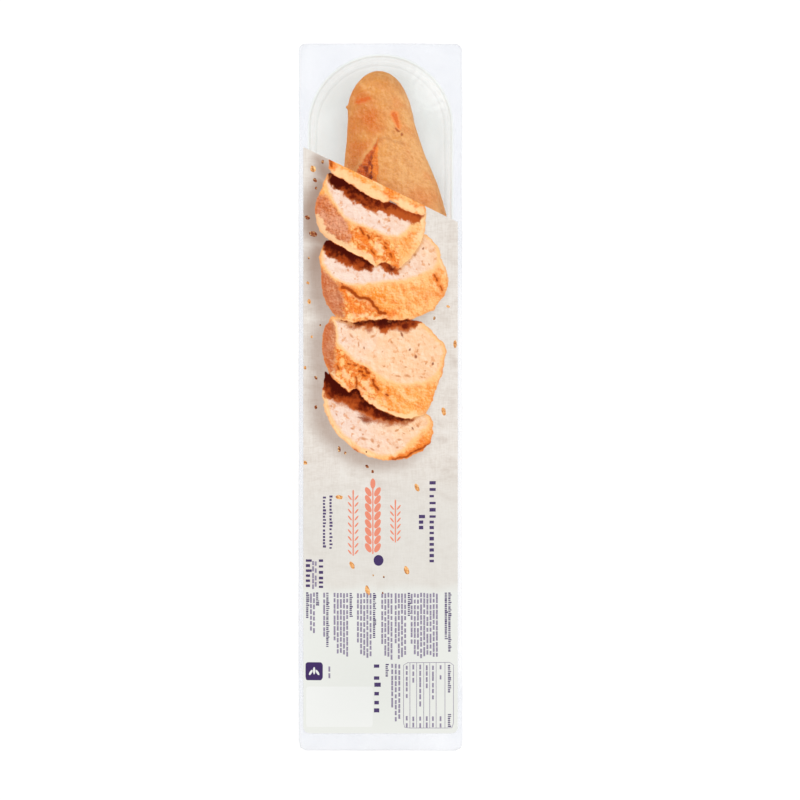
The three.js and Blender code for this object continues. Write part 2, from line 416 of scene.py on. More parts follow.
class Tree:
    """Builds one node tree, of a material or of Geometry Nodes."""

    def __init__(self, tree):
        self.tree = tree
        tree.nodes.clear()

    def node(self, kind, settings=None, inputs=None, output=0):
        """Adds a node: its settings first, then the values or links of its sockets."""
        node = self.tree.nodes.new(kind)
        for key, value in (settings or {}).items():
            setattr(node, key, value)
        for key, value in (inputs or {}).items():
            if isinstance(value, Signal):
                self.tree.links.new(value.socket, node.inputs[key])
            else:
                node.inputs[key].default_value = value
        return Signal(self, node.outputs[output] if node.outputs else None)

    def attribute(self, name):
        return self.node("ShaderNodeAttribute", {"attribute_name": name}, output="Fac")

    def mix(self, factor, first, second):
        """Mixes two colours."""
        settings = {"data_type": "RGBA", "blend_type": "MIX", "clamp_factor": True}
        first, second = opaque(first), opaque(second)
        return self.node("ShaderNodeMix", settings, {0: factor, 6: first, 7: second}, output=2)

    def position(self, stretch=(1.0, 1.0, 1.0), shift=(0.0, 0.0, 0.0)):
        """Object coordinates in millimetres."""
        place = self.node("ShaderNodeTexCoord", output="Object")
        inputs = {"Vector": place, "Location": shift, "Scale": tuple(s / MM for s in stretch)}
        return self.node("ShaderNodeMapping", {"vector_type": "POINT"}, inputs)

    def noise(
        self, size, detail=2.0, roughness=0.5, stretch=(1.0, 1.0, 1.0), distortion=0.0, shift=(0.0, 0.0, 0.0)
    ):
        """Noise from 0 to 1 with features of the given size in millimetres."""
        inputs = {"Vector": self.position(stretch, shift), "Scale": 1 / size, "Detail": detail}
        inputs.update({"Roughness": roughness, "Distortion": distortion})
        return self.node("ShaderNodeTexNoise", None, inputs)

    def slopes(self, size, detail=4.0, roughness=0.6, stretch=(1.0, 1.0, 1.0), distortion=0.0):
        """Which way small lumps face: above 0 towards the upper right and below 0 away from it."""
        step = 0.2 * size
        here = self.noise(size, detail, roughness, stretch, distortion)
        return here - self.noise(size, detail, roughness, stretch, distortion, (step, step, 0.0))

    def lit(self, colour, slopes, strength, light, dark):
        """Lightens a colour on slopes that face the light and darkens it on the others."""
        colour = self.mix(slopes * strength, colour, light)
        return self.mix(slopes * -strength, colour, dark)

    def seams(self, size, wander):
        """Distance from the seams of a net of uneven cells, for cells of the given size in millimetres."""
        inputs = {"Vector": self.position(), "Scale": 1.4 / size, "Detail": 2.0}
        drift = self.node("ShaderNodeTexNoise", None, inputs, output="Color")
        moved = {0: drift, 1: (wander,) * 3, 2: self.position()}
        place = self.node("ShaderNodeVectorMath", {"operation": "MULTIPLY_ADD"}, moved)
        inputs = {"Vector": place, "Scale": 1 / size, "Randomness": 1.0}
        return self.node("ShaderNodeTexVoronoi", {"feature": "DISTANCE_TO_EDGE"}, inputs)

    def axis(self, letter):
        split = self.position()
        return self.node("ShaderNodeSeparateXYZ", None, {0: split}, output="XYZ".index(letter))

    def bump(self, height, distance, strength=1.0):
        """distance is in millimetres."""
        return self.node(
            "ShaderNodeBump", None, {"Height": height, "Distance": distance * MM, "Strength": strength}
        )


def new_material(name):
    material = bpy.data.materials.new(name)
    material.use_nodes = True
    return material, Tree(material.node_tree)


def surface(tree, shader):
    tree.node("ShaderNodeOutputMaterial", None, {"Surface": shader})


def principled(tree, **inputs):
    named = {key.replace("_", " ").title().replace("Ior", "IOR"): opaque(value) for key, value in inputs.items()}
    return tree.node("ShaderNodeBsdfPrincipled", None, named)


# ---- Settings ----


def colour_setting(label, about, red, green, blue):
    return bpy.props.FloatVectorProperty(
        name=label,
        description=about,
        default=seen(red, green, blue),
        size=3,
        min=0.0,
        max=1.0,
        subtype="COLOR",
    )


def length_setting(label, about, millimetres):
    return bpy.props.FloatProperty(
        name=label,
        description=about,
        default=millimetres * MM,
        min=0.0,
        unit="LENGTH",
        subtype="DISTANCE",
    )


def share_setting(label, about, share):
    return bpy.props.FloatProperty(
        name=label, description=about, default=share, min=0.0, max=1.0, subtype="FACTOR"
    )


class LoafSettings(bpy.types.PropertyGroup):
    crust: colour_setting("Crust", "Colour of the pale baked crust", 232, 154, 71)
    flour: colour_setting("Flour", "Colour where flour dusts the crust", 235, 174, 110)
    # This colour browns the crust and also paints shade in some of the brown spots.
    browned: colour_setting("Browned", "Colour of the crust where it has coloured most", 224, 112, 28)
    torn: colour_setting("Torn crumb", "Colour of the torn faces inside a cut", 255, 142, 46)
    # Painted shade: this colour darkens the depth of a cut.
    crevice: colour_setting("Crevice", "Colour in the depth of a cut", 168, 70, 16)
    cut_width: length_setting("Cut width", "Widest opening of a scoring cut", 16.0)
    cut_depth: length_setting("Cut depth", "Depth of a scoring cut", 2.8)
    ear_height: length_setting("Ear height", "How far the crust lifts along a cut", 1.3)
    lump_height: length_setting("Lump height", "Unevenness of the loaf's outline", 0.55)


class PackSettings(bpy.types.PropertyGroup):
    wall_thickness: length_setting("Tray wall", "Thickness of the formed film", 0.35)
    seal_tint: colour_setting("Seal tint", "Tint of the two films where they are welded", 226, 230, 240)
    wall_tint: colour_setting("Wall tint", "Tint of the formed film of the tray", 180, 201, 190)
    seal_haze: share_setting("Seal haze", "How milky the welded flange is", 0.15)
    wall_haze: share_setting("Wall haze", "How milky the tray's walls are", 0.06)
    floor_haze: share_setting("Floor haze", "How milky the tray's floor is", 0.15)
    lid_haze: share_setting("Lid haze", "How milky the lidding film is", 0.008)
    gloss: share_setting("Gloss", "Roughness of the film's shine", 0.14)


class LabelSettings(bpy.types.PropertyGroup):
    linen: colour_setting("Linen", "Colour of the printed cloth", 231, 224, 216)
    linen_dark: colour_setting("Linen threads", "Colour between the threads of the cloth", 214, 204, 194)
    panel: colour_setting("Panel", "Colour of the plain part that carries the small print", 230, 232, 227)
    date_box: colour_setting("Date box", "Colour of the blank box", 235, 236, 233)
    crumb: colour_setting("Printed crumb", "Colour of the slices' crumb", 252, 205, 162)
    crust: colour_setting("Printed crust", "Colour of the slices' crust", 255, 177, 88)
    crust_dark: colour_setting("Printed dark crust", "Colour of the slices' ridges", 250, 148, 50)
    gap: colour_setting("Printed gap", "Colour of the shade between slices", 70, 9, 0)
    headline: colour_setting("Headline ink", "Colour of the large print", 230, 140, 114)
    ink: colour_setting("Ink", "Colour of the bold small print", 68, 50, 98)
    faded_ink: colour_setting("Faded ink", "Colour of the small print", 136, 127, 149)
    print_height: length_setting("Print height", "Thickness of the ink", 0.04)


class StageSettings(bpy.types.PropertyGroup):
    floor: colour_setting("Floor", "Colour of the plain floor", 110, 110, 110)
    floor_glow: share_setting("Floor glow", "How bright the floor shines by itself, as a light table does", 0.91)
    sun_strength: bpy.props.FloatProperty(
        name="Key light", description="Strength of the soft key light", default=1.35, min=0.0
    )
    sky_strength: bpy.props.FloatProperty(
        name="Fill light", description="Strength of the light from all round", default=0.76, min=0.0
    )
    lens: bpy.props.FloatProperty(
        name="Lens",
        description="Focal length of the camera, in millimetres",
        default=250.0,
        min=20.0,
        subtype="DISTANCE_CAMERA",
    )


# ---- The loaf ----


def nose(distance, shape):
    radius, half_width, taper = shape
    near = np.minimum(distance / radius, 1)
    roundness = np.sqrt(np.maximum(1 - (1 - near) ** 2, 0))
    swell = smooth(distance / taper)
    narrow = half_width / LOAF_HALF_WIDTH
    return roundness, narrow + (1 - narrow) * swell, NOSE_HEIGHT + (1 - NOSE_HEIGHT) * swell


def loaf_middle(y):
    bows = sum(sideways * np.exp(-(((y - at) / reach) ** 2)) for at, reach, sideways in LOAF_BOWS)
    return LOAF_OFFSET + bows


def loaf_stations():
    """Places along the loaf, close together at the tips and in the part that shows most."""
    stations = []
    y = LOAF_HEAD - 0.02
    while y > LOAF_FOOT + 0.02:
        stations.append(y)
        from_tip = min(LOAF_HEAD - y, y - LOAF_FOOT)
        y -= min(0.5 if y > 95 else 1.15, 0.05 + 0.12 * from_tip)
    return np.array(stations)


def loaf_surface(around):
    """The smooth loaf: points by station and turn, and how far up its section each one is."""
    y = loaf_stations()[:, None]
    turn = 2 * math.pi * np.arange(around)[None, :] / around
    head_round, head_width, head_height = nose(LOAF_HEAD - y, HEAD_NOSE)
    foot_round, foot_width, foot_height = nose(y - LOAF_FOOT, FOOT_NOSE)
    roundness = head_round * foot_round
    tip = np.minimum(LOAF_HEAD - y, y - LOAF_FOOT)
    lift = 2.5 * (1 - smooth(tip / 60))
    height = LOAF_HEIGHT * head_height * foot_height - lift
    half_width = LOAF_HALF_WIDTH * head_width * foot_width * roundness
    is_top = np.sin(turn) >= 0
    power = np.where(is_top, 0.9, 2 / 3)
    across = np.sign(np.cos(turn)) * np.abs(np.cos(turn)) ** power
    up = np.sign(np.sin(turn)) * np.abs(np.sin(turn)) ** power
    reach = np.where(is_top, 1 - LOAF_WIDEST_AT, LOAF_WIDEST_AT) * height * roundness
    x = loaf_middle(y) + half_width * across
    z = LOAF_BASE + lift + LOAF_WIDEST_AT * height + reach * up
    return np.stack((x, np.broadcast_to(y, x.shape), z), -1), np.broadcast_to(up, x.shape)


def surface_normals(points):
    along = np.gradient(points, axis=0)
    around = np.roll(points, -1, 1) - np.roll(points, 1, 1)
    normal = np.cross(around, along)
    return normal / np.maximum(np.linalg.norm(normal, axis=-1, keepdims=True), 1e-9)


def cut_shape(points, settings):
    """The scoring: how far each point is inside a cut, where across it, and the relief that it makes."""
    inside = np.full(len(points), -9.0)
    across_share = np.full(len(points), 0.5)
    relief = np.zeros(len(points))
    flat = points[:, :2]
    half_width = settings.cut_width / MM / 2
    depth, ear = settings.cut_depth / MM, settings.ear_height / MM
    ragged = 0.9 * noise(points, 4.2, 21) + 0.55 * noise(points, 1.5, 22)
    for index in range(CUT_COUNT):
        middle_y = CUT_FIRST_Y - index * CUT_PITCH
        dx = flat[:, 0] - loaf_middle(middle_y) - CUT_OFFSETS[index]
        dy = flat[:, 1] - middle_y
        along = (dx * math.sin(CUT_LEAN) + dy * math.cos(CUT_LEAN)) / CUT_HALF_LENGTH
        across = dx * math.cos(CUT_LEAN) - dy * math.sin(CUT_LEAN) + ragged
        opening = half_width * np.maximum(1 - along**2, 0) ** 1.6
        share = opening / half_width
        within = opening - np.abs(across) - 2 * CUT_HALF_LENGTH * np.maximum(np.abs(along) - 1, 0)
        t = np.clip((across + opening) / np.maximum(2 * opening, 1e-3), 0, 1)
        groove = smooth(t, 0, 0.35) * (1 - smooth(t, 0.42, 1.0)) * np.sqrt(share)
        lifted = ear * np.exp(-(((across - opening - 1.4) / 2.4) ** 2))
        folded = 0.6 * ear * np.exp(-(((across + opening + 1.4) / 2.0) ** 2))
        relief += share * (lifted + folded) - depth * groove
        here = within > inside
        inside = np.where(here, within, inside)
        across_share = np.where(here, t, across_share)
    return inside, across_share, relief


# Marks on the tip of the loaf as x and y in millimetres. Spots have their reach both ways, and brown ones an amount.
# The brown spots are partly browning of the crust and partly painted shade: a dent's shade and the darker left flank.
SLIT = ((7.8, 160.0), (9.3, 156.2), (10.3, 152.9))
DARK_SLIT_EDGE = ((8.6, 152.2), (9.4, 151.3), (10.3, 150.7))
DARK_SLIT_DOT = ((11.9, 149.0), (12.0, 148.7))
BLUSH = ((-10.2, 168.6, 3.4, 1.5), (-7.4, 169.6, 2.2, 1.3), (-12.5, 167.6, 2.0, 1.2))
HOLLOWS = (
    (-5.4, 136.0, 0.9, 1.6), (-8.9, 129.4, 1.5, 1.9), (-6.6, 125.0, 1.6, 2.2), (-6.8, 132.8, 1.2, 1.5),
    (-5.4, 130.6, 0.8, 1.7),
)
CREASE = ((-3.6, 142.3), (-1.6, 145.4), (0.9, 146.9), (4.4, 146.4), (8.6, 144.3), (13.5, 143.2))
BROWN_AND_SHADE_SPOTS = (
    (-10.0, 168.6, 6.0, 3.0, 0.6), (-7.0, 159.5, 7.5, 5.5, 0.95), (-4.0, 153.5, 5.0, 3.0, 0.55),
    (-14.0, 172.0, 5.0, 4.0, 0.45), (-16.0, 151.0, 4.5, 9.0, 0.45), (-9.0, 142.5, 6.0, 3.0, 0.55),
    (-13.5, 137.5, 4.5, 6.0, 0.5), (-18.5, 128.0, 4.0, 9.0, 0.45), (20.0, 114.0, 9.0, 6.0, 0.45),
    (27.0, 108.0, 6.0, 8.0, 0.35), (2.0, 177.0, 12.0, 4.0, 0.12), (-4.0, 150.5, 6.0, 2.6, 0.4),
)


def make_loaf(settings):
    around = LOAF_AROUND
    grid, up = loaf_surface(around)
    normals = surface_normals(grid).reshape(-1, 3)
    points = grid.reshape(-1, 3)
    up = up.reshape(-1)
    top = smooth(up, -0.1, 0.6)
    lumps = settings.lump_height / MM

    inside, across_share, cut_relief = cut_shape(points, settings)
    opened = smooth(inside, -0.3, 0.8) * top
    flat = points[:, :2]
    slit = 2.3 - 0.12 * (160 - points[:, 1]) - line_distance(flat, SLIT)
    slit = np.where(top > 0.4, slit, -9.0)
    # A darker brown line and dot along the lower left of the slit, cut in as a shallow groove.
    scorch = np.maximum(0.55 - line_distance(flat, DARK_SLIT_EDGE), 0.7 - line_distance(flat, DARK_SLIT_DOT))
    scorch = np.where(top > 0.4, scorch, -9.0)
    blush = np.max([blob(points, *spot) for spot in BLUSH], 0) * top
    crease = line_distance(flat, CREASE)

    relief = lumps * (1.2 * noise(points, 31, 11) + 0.5 * noise(points, 11, 12))
    relief += 0.16 * noise(points, 4.5, 13) + 0.1 * fractal(points, 1.9, 2, 14)
    relief += cut_relief * top
    hollow = smooth(noise(points, 2.6, 23), 0.15, 0.7) * smooth(inside, 0.8, 2.4) * smooth(0.85 - across_share, 0, 0.3)
    for spot in HOLLOWS:
        hollow = np.maximum(hollow, blob(points, *spot) * smooth(inside, -0.2, 0.8))
    relief += 0.75 * fractal(points, 2.1, 3, 15) * opened - 0.6 * hollow * top
    relief -= (0.3 * smooth(slit, -0.4, 0.9) + 0.12 * smooth(scorch, -0.4, 0.4)) * top
    relief -= 0.2 * np.exp(-((crease / 0.8) ** 2)) * top
    relief += 0.18 * np.exp(-(((crease - 1.7) / 1.1) ** 2)) * top
    dimples = np.cos(points[:, 0] * 1.25) * np.cos(points[:, 1] * 1.25)
    relief += 0.22 * dimples * smooth(-up, 0.6, 0.9)
    flake = np.exp(-(((points[:, 1] - 165.2) / 0.9) ** 2) - ((points[:, 2] - 15) / 4) ** 2)
    relief += 1.3 * flake * (points[:, 0] < -10)
    settle = 1 - 0.75 * smooth(-up, 0.5, 0.95)
    points = points + normals * (relief * settle)[:, None]
    points[:, 0] = np.clip(points[:, 0], -LOAF_REACH, LOAF_REACH)
    points[:, 2] = np.maximum(points[:, 2], LOAF_LOWEST)

    # Browning of the crust, partly painted shade where spots darken a dent and the left flank.
    browned = sum(amount * blob(points, *spot) for *spot, amount in BROWN_AND_SHADE_SPOTS)
    browned = browned * smooth(up, -0.2, 0.3) * (points[:, 1] > 90)
    browned = browned + 0.5 * smooth(noise(points, 16, 31), 0.1, 0.8) * (points[:, 1] < 110)

    count = len(points) // around
    faces = ring_faces(count, around)
    tips = [grid[0].mean(0), grid[-1].mean(0)]
    first, last = len(points), len(points) + 1
    ring = len(points) - around
    for i in range(around):
        after = (i + 1) % around
        faces.append((first, after, i))
        faces.append((last, ring + i, ring + after))
    points = np.vstack((points, tips))
    layers = {"inside_cut": inside, "across_cut": across_share, "slit": slit, "browned": browned}
    layers.update({"topside": top, "hollow": hollow, "crease": crease, "scorch": scorch, "blush": blush})
    layers = {key: np.append(value, (value[0], value[-1])) for key, value in layers.items()}
    return mesh_object("baguette", points, faces, layers)


def crust_material(settings):
    material, tree = new_material("floury crust")
    browned, inside, across = (tree.attribute(key) for key in ("browned", "inside_cut", "across_cut"))
    slit, topside, hollow, crease = (tree.attribute(key) for key in ("slit", "topside", "hollow", "crease"))
    scorch, blush = tree.attribute("scorch"), tree.attribute("blush")

    mottle = tree.noise(1.5, 5.0, 0.65)
    speckle = tree.noise(0.6, 3.0, 0.6)
    patches = tree.noise(12.0, 3.0, 0.55)
    clouds = tree.noise(5.0, 4.0, 0.6, distortion=0.6)
    fibres = tree.noise(2.2, 4.0, 0.72, distortion=0.6)

    # Flour dusts the crust in patches and grows towards the right. That growth, and the warm brown that fades towards
    # the right, is painted light: the right side is paler and the left darker, as the light comes from the right.
    rightward = tree.axis("X").between(-20.0, 30.0)
    flour_and_painted_light = (mottle * 0.5 + clouds * 0.9 + rightward * 0.5 - 0.5).between(0.1, 0.75)
    colour = tree.mix(flour_and_painted_light, tuple(settings.crust), tuple(settings.flour))
    warm = (clouds * 0.9 + patches * 0.8 - rightward * 0.25).between(0.72, 1.0) * 0.55
    colour = tree.mix(warm, colour, seen(228, 132, 54))
    veins = fibres.between(0.48, 0.68) * clouds.between(0.25, 0.7) * 0.6
    colour = tree.mix(veins, colour, seen(210, 122, 52))
    # The brown spots mix in browned crust, partly painted shade.
    toned = browned * (0.3 + 1.3 * clouds) + patches.between(0.5, 0.75) * 0.4
    colour = tree.mix(toned, colour, tuple(settings.browned))
    colour = tree.mix((1.0 - topside) * 0.14, colour, seen(214, 136, 74))
    colour = tree.mix(speckle.between(0.55, 0.72) * 0.4, colour, seen(200, 116, 54))
    light = seen(255, 210, 150)
    colour = tree.lit(colour, tree.slopes(2.0, 6.0, 0.72), 1.6, light, seen(176, 94, 36))
    colour = tree.lit(colour, tree.slopes(6.0, 5.0, 0.6), 1.5, light, seen(190, 98, 34))
    # Painted shade along the crease line on the tip.
    crease_shade = (0.9 - crease.size() + (mottle - 0.5) * 3.0).between(-0.8, 1.2) * 0.3
    colour = tree.mix(crease_shade, colour, seen(176, 96, 40))
    colour = tree.mix(blush.frayed(mottle, 1.1).between(0.05, 0.95) * 0.9, colour, seen(228, 102, 22))

    torn = tree.noise(1.4, 4.0, 0.65, distortion=0.6)
    inner = tree.mix((across + torn * 0.5).between(0.55, 0.85), seen(220, 104, 30), tuple(settings.torn))
    inner = tree.lit(inner, tree.slopes(1.6, 4.0, 0.6), 2.4, seen(255, 178, 96), seen(164, 62, 12))
    # Painted shade along the deepest part of each cut's groove.
    middle = (0.3 - (across - 0.36).size() + (torn - 0.5) * 1.1).between(0.02, 0.3) * inside.between(0.6, 2.2)
    inner = tree.mix(middle * 0.6, inner, seen(190, 78, 16))
    # Painted shade: the hollows deep in the cuts take the crevice colour.
    inner = tree.mix(hollow.frayed(torn, 0.9).between(0.3, 0.62) * 0.9, inner, tuple(settings.crevice))
    edge = inside.frayed(torn, 2.6).between(-0.5, 0.7)
    # Painted highlight: a pale floury band along the lifted flap left of each cut.
    flap_highlight = inside.frayed(mottle, 2.0).between(-3.4, -0.6) * (1.0 - across).between(0.4, 0.7)
    colour = tree.mix(flap_highlight * topside * 0.36, colour, seen(246, 192, 126))
    colour = tree.mix(edge * topside.between(0.2, 0.6), colour, inner)

    glow = slit.frayed(torn, 3.0).between(-1.2, 1.0)
    core = slit.frayed(mottle, 2.0).between(0.2, 1.5)
    colour = tree.mix(glow * 0.85, colour, tree.mix(core, seen(250, 152, 78), seen(228, 102, 22)))
    # Darker brown along the lower left of the slit.
    colour = tree.mix(scorch.frayed(torn, 1.2).between(-0.5, 0.4) * 0.85, colour, seen(166, 66, 14))

    normal = tree.bump(mottle * 0.5 + speckle * 0.2 + fibres * 0.35, 1.0, 0.6)
    rough = mottle.between(0.2, 0.8, 0.8, 0.97)
    shader = principled(tree, base_color=colour, roughness=rough, normal=normal, specular_ior_level=0.08)
    surface(tree, shader)
    return material


# ---- Tray and lidding film ----


def film_material(name, tint, haze, roughness, gloss_share, veil):
    """Clear film: mostly see-through, milky by its haze and, at a slant, by its veil, with a slanting shine."""
    material, tree = new_material(name)
    normal = tree.bump(film_creases(tree), 0.5, 0.5)
    milk = principled(tree, base_color=tint(tree), roughness=0.5, normal=normal, specular_ior_level=0.1)
    clear = tree.node("ShaderNodeBsdfTransparent", None, {"Color": (1, 1, 1, 1)})
    slant = tree.node("ShaderNodeFresnel", None, {"IOR": 1.34, "Normal": normal})
    body = tree.node("ShaderNodeMixShader", None, {0: haze(tree) + slant * veil, 1: clear, 2: milk})
    gloss = {"Color": (1, 1, 1, 1), "Roughness": roughness, "Normal": normal}
    shine = tree.node("ShaderNodeBsdfAnisotropic", None, gloss)
    surface(tree, tree.node("ShaderNodeMixShader", None, {0: slant * gloss_share, 1: body, 2: shine}))
    return material


def film_creases(tree):
    broad = tree.noise(9.0, 2.0, 0.5, distortion=0.8)
    fine = tree.noise(2.4, 2.0, 0.5, stretch=(1.0, 0.4, 1.0))
    return broad + fine * 0.25


def flange_share(tree):
    """1 on the flange and 0 over the cavity, by the rounded-head outline of the cavity."""
    x, y = tree.axis("X"), tree.axis("Y")
    past_head = (y - HEAD_CENTRE).highest(0.0)
    ring = (x * x + past_head * past_head) ** 0.5
    sides = (ring - CAVITY_HALF_WIDTH).between(-0.5, 0.3)
    foot = (CAVITY_FOOT - y).between(-0.5, 0.3)
    return sides.highest(foot)


def seal_haze(tree, settings):
    """Less haze along the middle of the right side, painted light that makes that side of the flange brighter, and a
    little less haze at the foot.
    """
    y = tree.axis("Y")
    # Painted light: the right side of the flange is made clearer, and so brighter.
    side = tree.axis("X").between(42.5, 45.0) * y.between(80.0, 45.0) * y.between(-172.0, -150.0)
    return (1.0 - side * 0.6) * y.between(-170.0, -195.0, 1.0, 0.8) * settings.seal_haze


def film_haze(tree, settings, cavity):
    """How milky a film is: as the weld on the flange and as cavity says over the rest, in soft patches."""
    patches = tree.noise(22.0, 2.0, 0.5).between(0.2, 0.8, 0.85, 1.15)
    flange = flange_share(tree)
    return (flange * seal_haze(tree, settings) + (1.0 - flange) * cavity) * patches


def loaf_shade(x, y):
    """How much of the light the loaf keeps off the tray's floor, which fades away from its outline."""
    inner = np.clip(y, LOAF_FOOT + 1, LOAF_HEAD - 1)
    head_round, head_width, _ = nose(LOAF_HEAD - inner, HEAD_NOSE)
    foot_round, foot_width, _ = nose(inner - LOAF_FOOT, FOOT_NOSE)
    half_width = LOAF_HALF_WIDTH * head_width * foot_width * head_round * foot_round
    aside = x - loaf_middle(inner)
    clearance = np.hypot(np.maximum(np.abs(aside) - half_width, 0), 2.5 * (y - inner))
    return np.exp(-clearance / np.where(aside < 0, 11.0, 6.0))


def make_tray(settings):
    flange_z = TRAY_TOP - settings.wall_thickness / MM
    rings = flange_rings(lambda x, y: np.full(len(x), flange_z))

    def ring_at(inset, z):
        points, _ = cavity_ring(inset)
        return np.column_stack((points, np.full(len(points), z)))

    def wall_inset(z):
        return LIP_RADIUS + WALL_DRAFT * (flange_z - z)

    for turn in np.linspace(0.5 * math.pi, 0, LIP_RINGS):
        z = flange_z - LIP_RADIUS * (1 - math.sin(turn))
        rings.append(ring_at(wall_inset(z) - LIP_RADIUS * (1 - math.cos(turn)), z))
    wall_top, wall_foot = flange_z - LIP_RADIUS, FLOOR_RADIUS
    for z in np.linspace(wall_top, wall_foot, WALL_RINGS + 2)[1:-1]:
        rings.append(ring_at(wall_inset(z), z))
    for turn in np.linspace(0.5 * math.pi, 0, BEND_RINGS):
        z = FLOOR_RADIUS * (1 - math.cos(turn))
        rings.append(ring_at(wall_inset(z) + FLOOR_RADIUS * (1 - math.sin(turn)), z))
    widest = wall_inset(0) + FLOOR_RADIUS
    for inset in np.linspace(widest, FLOOR_MIDDLE, FLOOR_RINGS + 1)[1:]:
        rings.append(ring_at(inset, 0.0))

    count = len(rings[0])
    points = np.vstack(rings)
    low = smooth(points[:, 2], flange_z - 2, flange_z - 8) * smooth(points[:, 2], 0.5, 8)
    toward = np.column_stack((np.sign(points[:, 0]), np.zeros(len(points))))
    buckle = 0.35 * noise(points, 24, 41) + 0.12 * noise(points, 8, 42) - 0.4
    points[:, :2] += toward * (buckle * low)[:, None]
    # Painted shadow of the loaf on the low part of the tray.
    beside = loaf_shade(points[:, 0], points[:, 1]) * smooth(points[:, 2], 16, 4)
    faces = ring_faces(len(rings), count)
    faces.append(tuple(range(len(points) - count, len(points))))
    faces = [tuple(reversed(face)) for face in faces]
    tray = mesh_object("clear_tray", points, faces, {"beside_loaf": beside})
    return solidified(tray, settings.wall_thickness / MM, -1.0)


def make_lid():
    def height(x, y):
        return LID_REST + film_rise(x, y)

    rings = flange_rings(height)
    for inset in np.linspace(0, LID_MIDDLE, LID_RINGS):
        points, _ = cavity_ring(inset)
        rings.append(np.column_stack((points, height(points[:, 0], points[:, 1]))))
    count = len(rings[0])
    points = np.vstack(rings)
    faces = ring_faces(len(rings), count) + closing_faces(len(points) - count, count)
    return solidified(mesh_object("lidding_film", points, faces), LID_THICKNESS, 1.0)


# ---- Label ----

# Outlines of the printed bread, in millimetres on the label, from the head of the pack to its foot.
HEEL = (
    (-29.4, 137.2), (-24.0, 134.4), (-15.5, 130.1), (-4.2, 125.2), (7.1, 120.2), (15.5, 115.3), (24.4, 109.4),
    (25.7, 104.9), (24.0, 102.5), (19.8, 103.1), (14.1, 105.4), (9.9, 107.6), (5.6, 110.5), (1.4, 109.6),
    (-2.8, 111.7), (-8.5, 114.4), (-14.1, 118.1), (-19.8, 121.8), (-24.0, 124.0), (-27.1, 126.1), (-29.0, 129.0),
)
SLICE_1 = (
    (-29.9, 125.7), (-32.5, 120.5), (-35.0, 114.8), (-37.0, 109.2), (-36.7, 104.9), (-36.0, 98.6), (-34.5, 94.1),
    (-31.1, 90.8), (-26.6, 87.3), (-21.2, 84.5), (-16.2, 81.6), (-10.6, 78.5), (-5.6, 75.1), (-1.4, 74.2),
    (2.1, 76.3), (5.6, 74.6), (9.9, 71.6), (13.0, 75.3), (16.4, 78.8), (19.8, 83.1), (22.6, 87.3), (24.7, 92.9),
    (25.6, 98.6), (25.8, 104.2), (14.1, 105.7), (-4.2, 114.1), (-18.4, 121.5), (-28.2, 126.6),
)
CRUMB_1 = (
    (-30.8, 121.9), (-29.9, 116.2), (-25.7, 108.2), (-20.5, 101.1), (-16.7, 98.6), (-12.7, 97.2), (-8.2, 95.8),
    (-4.2, 94.1), (2.5, 90.8), (9.6, 90.1), (14.4, 92.9), (18.1, 97.5), (21.8, 99.4), (25.8, 103.1),
    (22.6, 104.2), (-4.2, 113.4), (-18.4, 121.2), (-28.2, 125.4),
)
SLICE_2 = (
    (-30.8, 88.4), (-33.6, 83.1), (-34.6, 78.8), (-33.8, 71.8), (-33.3, 64.7), (-32.3, 57.6), (-30.4, 52.0),
    (-26.8, 47.0), (-22.3, 44.1), (-16.2, 41.8), (-11.3, 42.8), (-4.2, 43.5), (2.8, 43.9), (9.9, 43.2),
    (16.9, 43.8), (24.0, 46.2), (29.9, 49.2), (34.2, 54.5), (37.6, 60.5), (38.3, 66.1), (36.9, 71.8),
    (34.9, 77.4), (32.8, 84.2), (29.7, 88.7), (25.4, 91.8), (9.9, 92.9), (-11.3, 91.5),
)
CRUMB_2 = (
    (-32.5, 83.8), (-33.6, 79.5), (-32.9, 75.7), (-30.8, 71.5), (-26.6, 67.2), (-21.8, 64.3), (-15.5, 62.6),
    (-8.5, 63.3), (0.0, 64.1), (9.9, 65.0), (16.9, 66.4), (24.0, 68.9), (29.9, 71.8), (33.3, 75.7),
    (33.6, 80.2), (31.4, 85.6), (28.0, 89.8), (24.7, 91.2), (9.9, 90.8), (-11.3, 88.7),
)
SLICE_3 = (
    (-28.0, 45.2), (-30.8, 40.7), (-32.3, 35.0), (-32.9, 28.0), (-31.8, 20.9), (-29.7, 14.5), (-26.8, 10.3),
    (-22.6, 6.5), (-17.7, 3.0), (-13.0, 4.7), (-9.0, -2.0), (-4.2, -4.8), (1.4, -8.2), (7.1, -10.5),
    (14.1, -12.6), (21.2, -10.6), (25.7, -8.8), (29.8, -1.7), (31.9, 5.4), (34.6, 12.4), (36.2, 19.5),
    (37.1, 26.6), (35.5, 30.8), (31.2, 34.3), (27.0, 39.3), (22.6, 42.4), (9.9, 46.3), (-18.4, 47.0),
)
CRUMB_3 = (
    (-26.6, 44.1), (-25.4, 37.6), (-24.6, 30.5), (-20.9, 26.0), (-14.1, 19.5), (-7.1, 16.7), (-2.5, 13.0),
    (1.7, 9.3), (8.5, 7.3), (16.9, 6.8), (25.4, 8.2), (31.1, 11.0), (33.9, 16.7), (36.4, 24.9), (34.5, 30.5),
    (30.2, 34.2), (24.7, 40.1), (21.2, 42.9), (9.9, 45.6), (-18.4, 45.6),
)
SLICE_4 = (
    (-31.4, 14.1), (-32.5, 8.2), (-32.9, 1.1), (-31.8, -5.9), (-29.5, -13.0), (-25.4, -20.1), (-19.8, -25.3),
    (-13.8, -30.2), (-6.8, -33.6), (1.4, -35.7), (9.9, -35.7), (17.2, -33.6), (24.0, -30.2), (28.2, -26.0),
    (29.8, -20.1), (29.8, -14.4), (28.2, -11.3), (25.1, -8.8), (9.9, -7.3), (-11.3, 5.4),
)
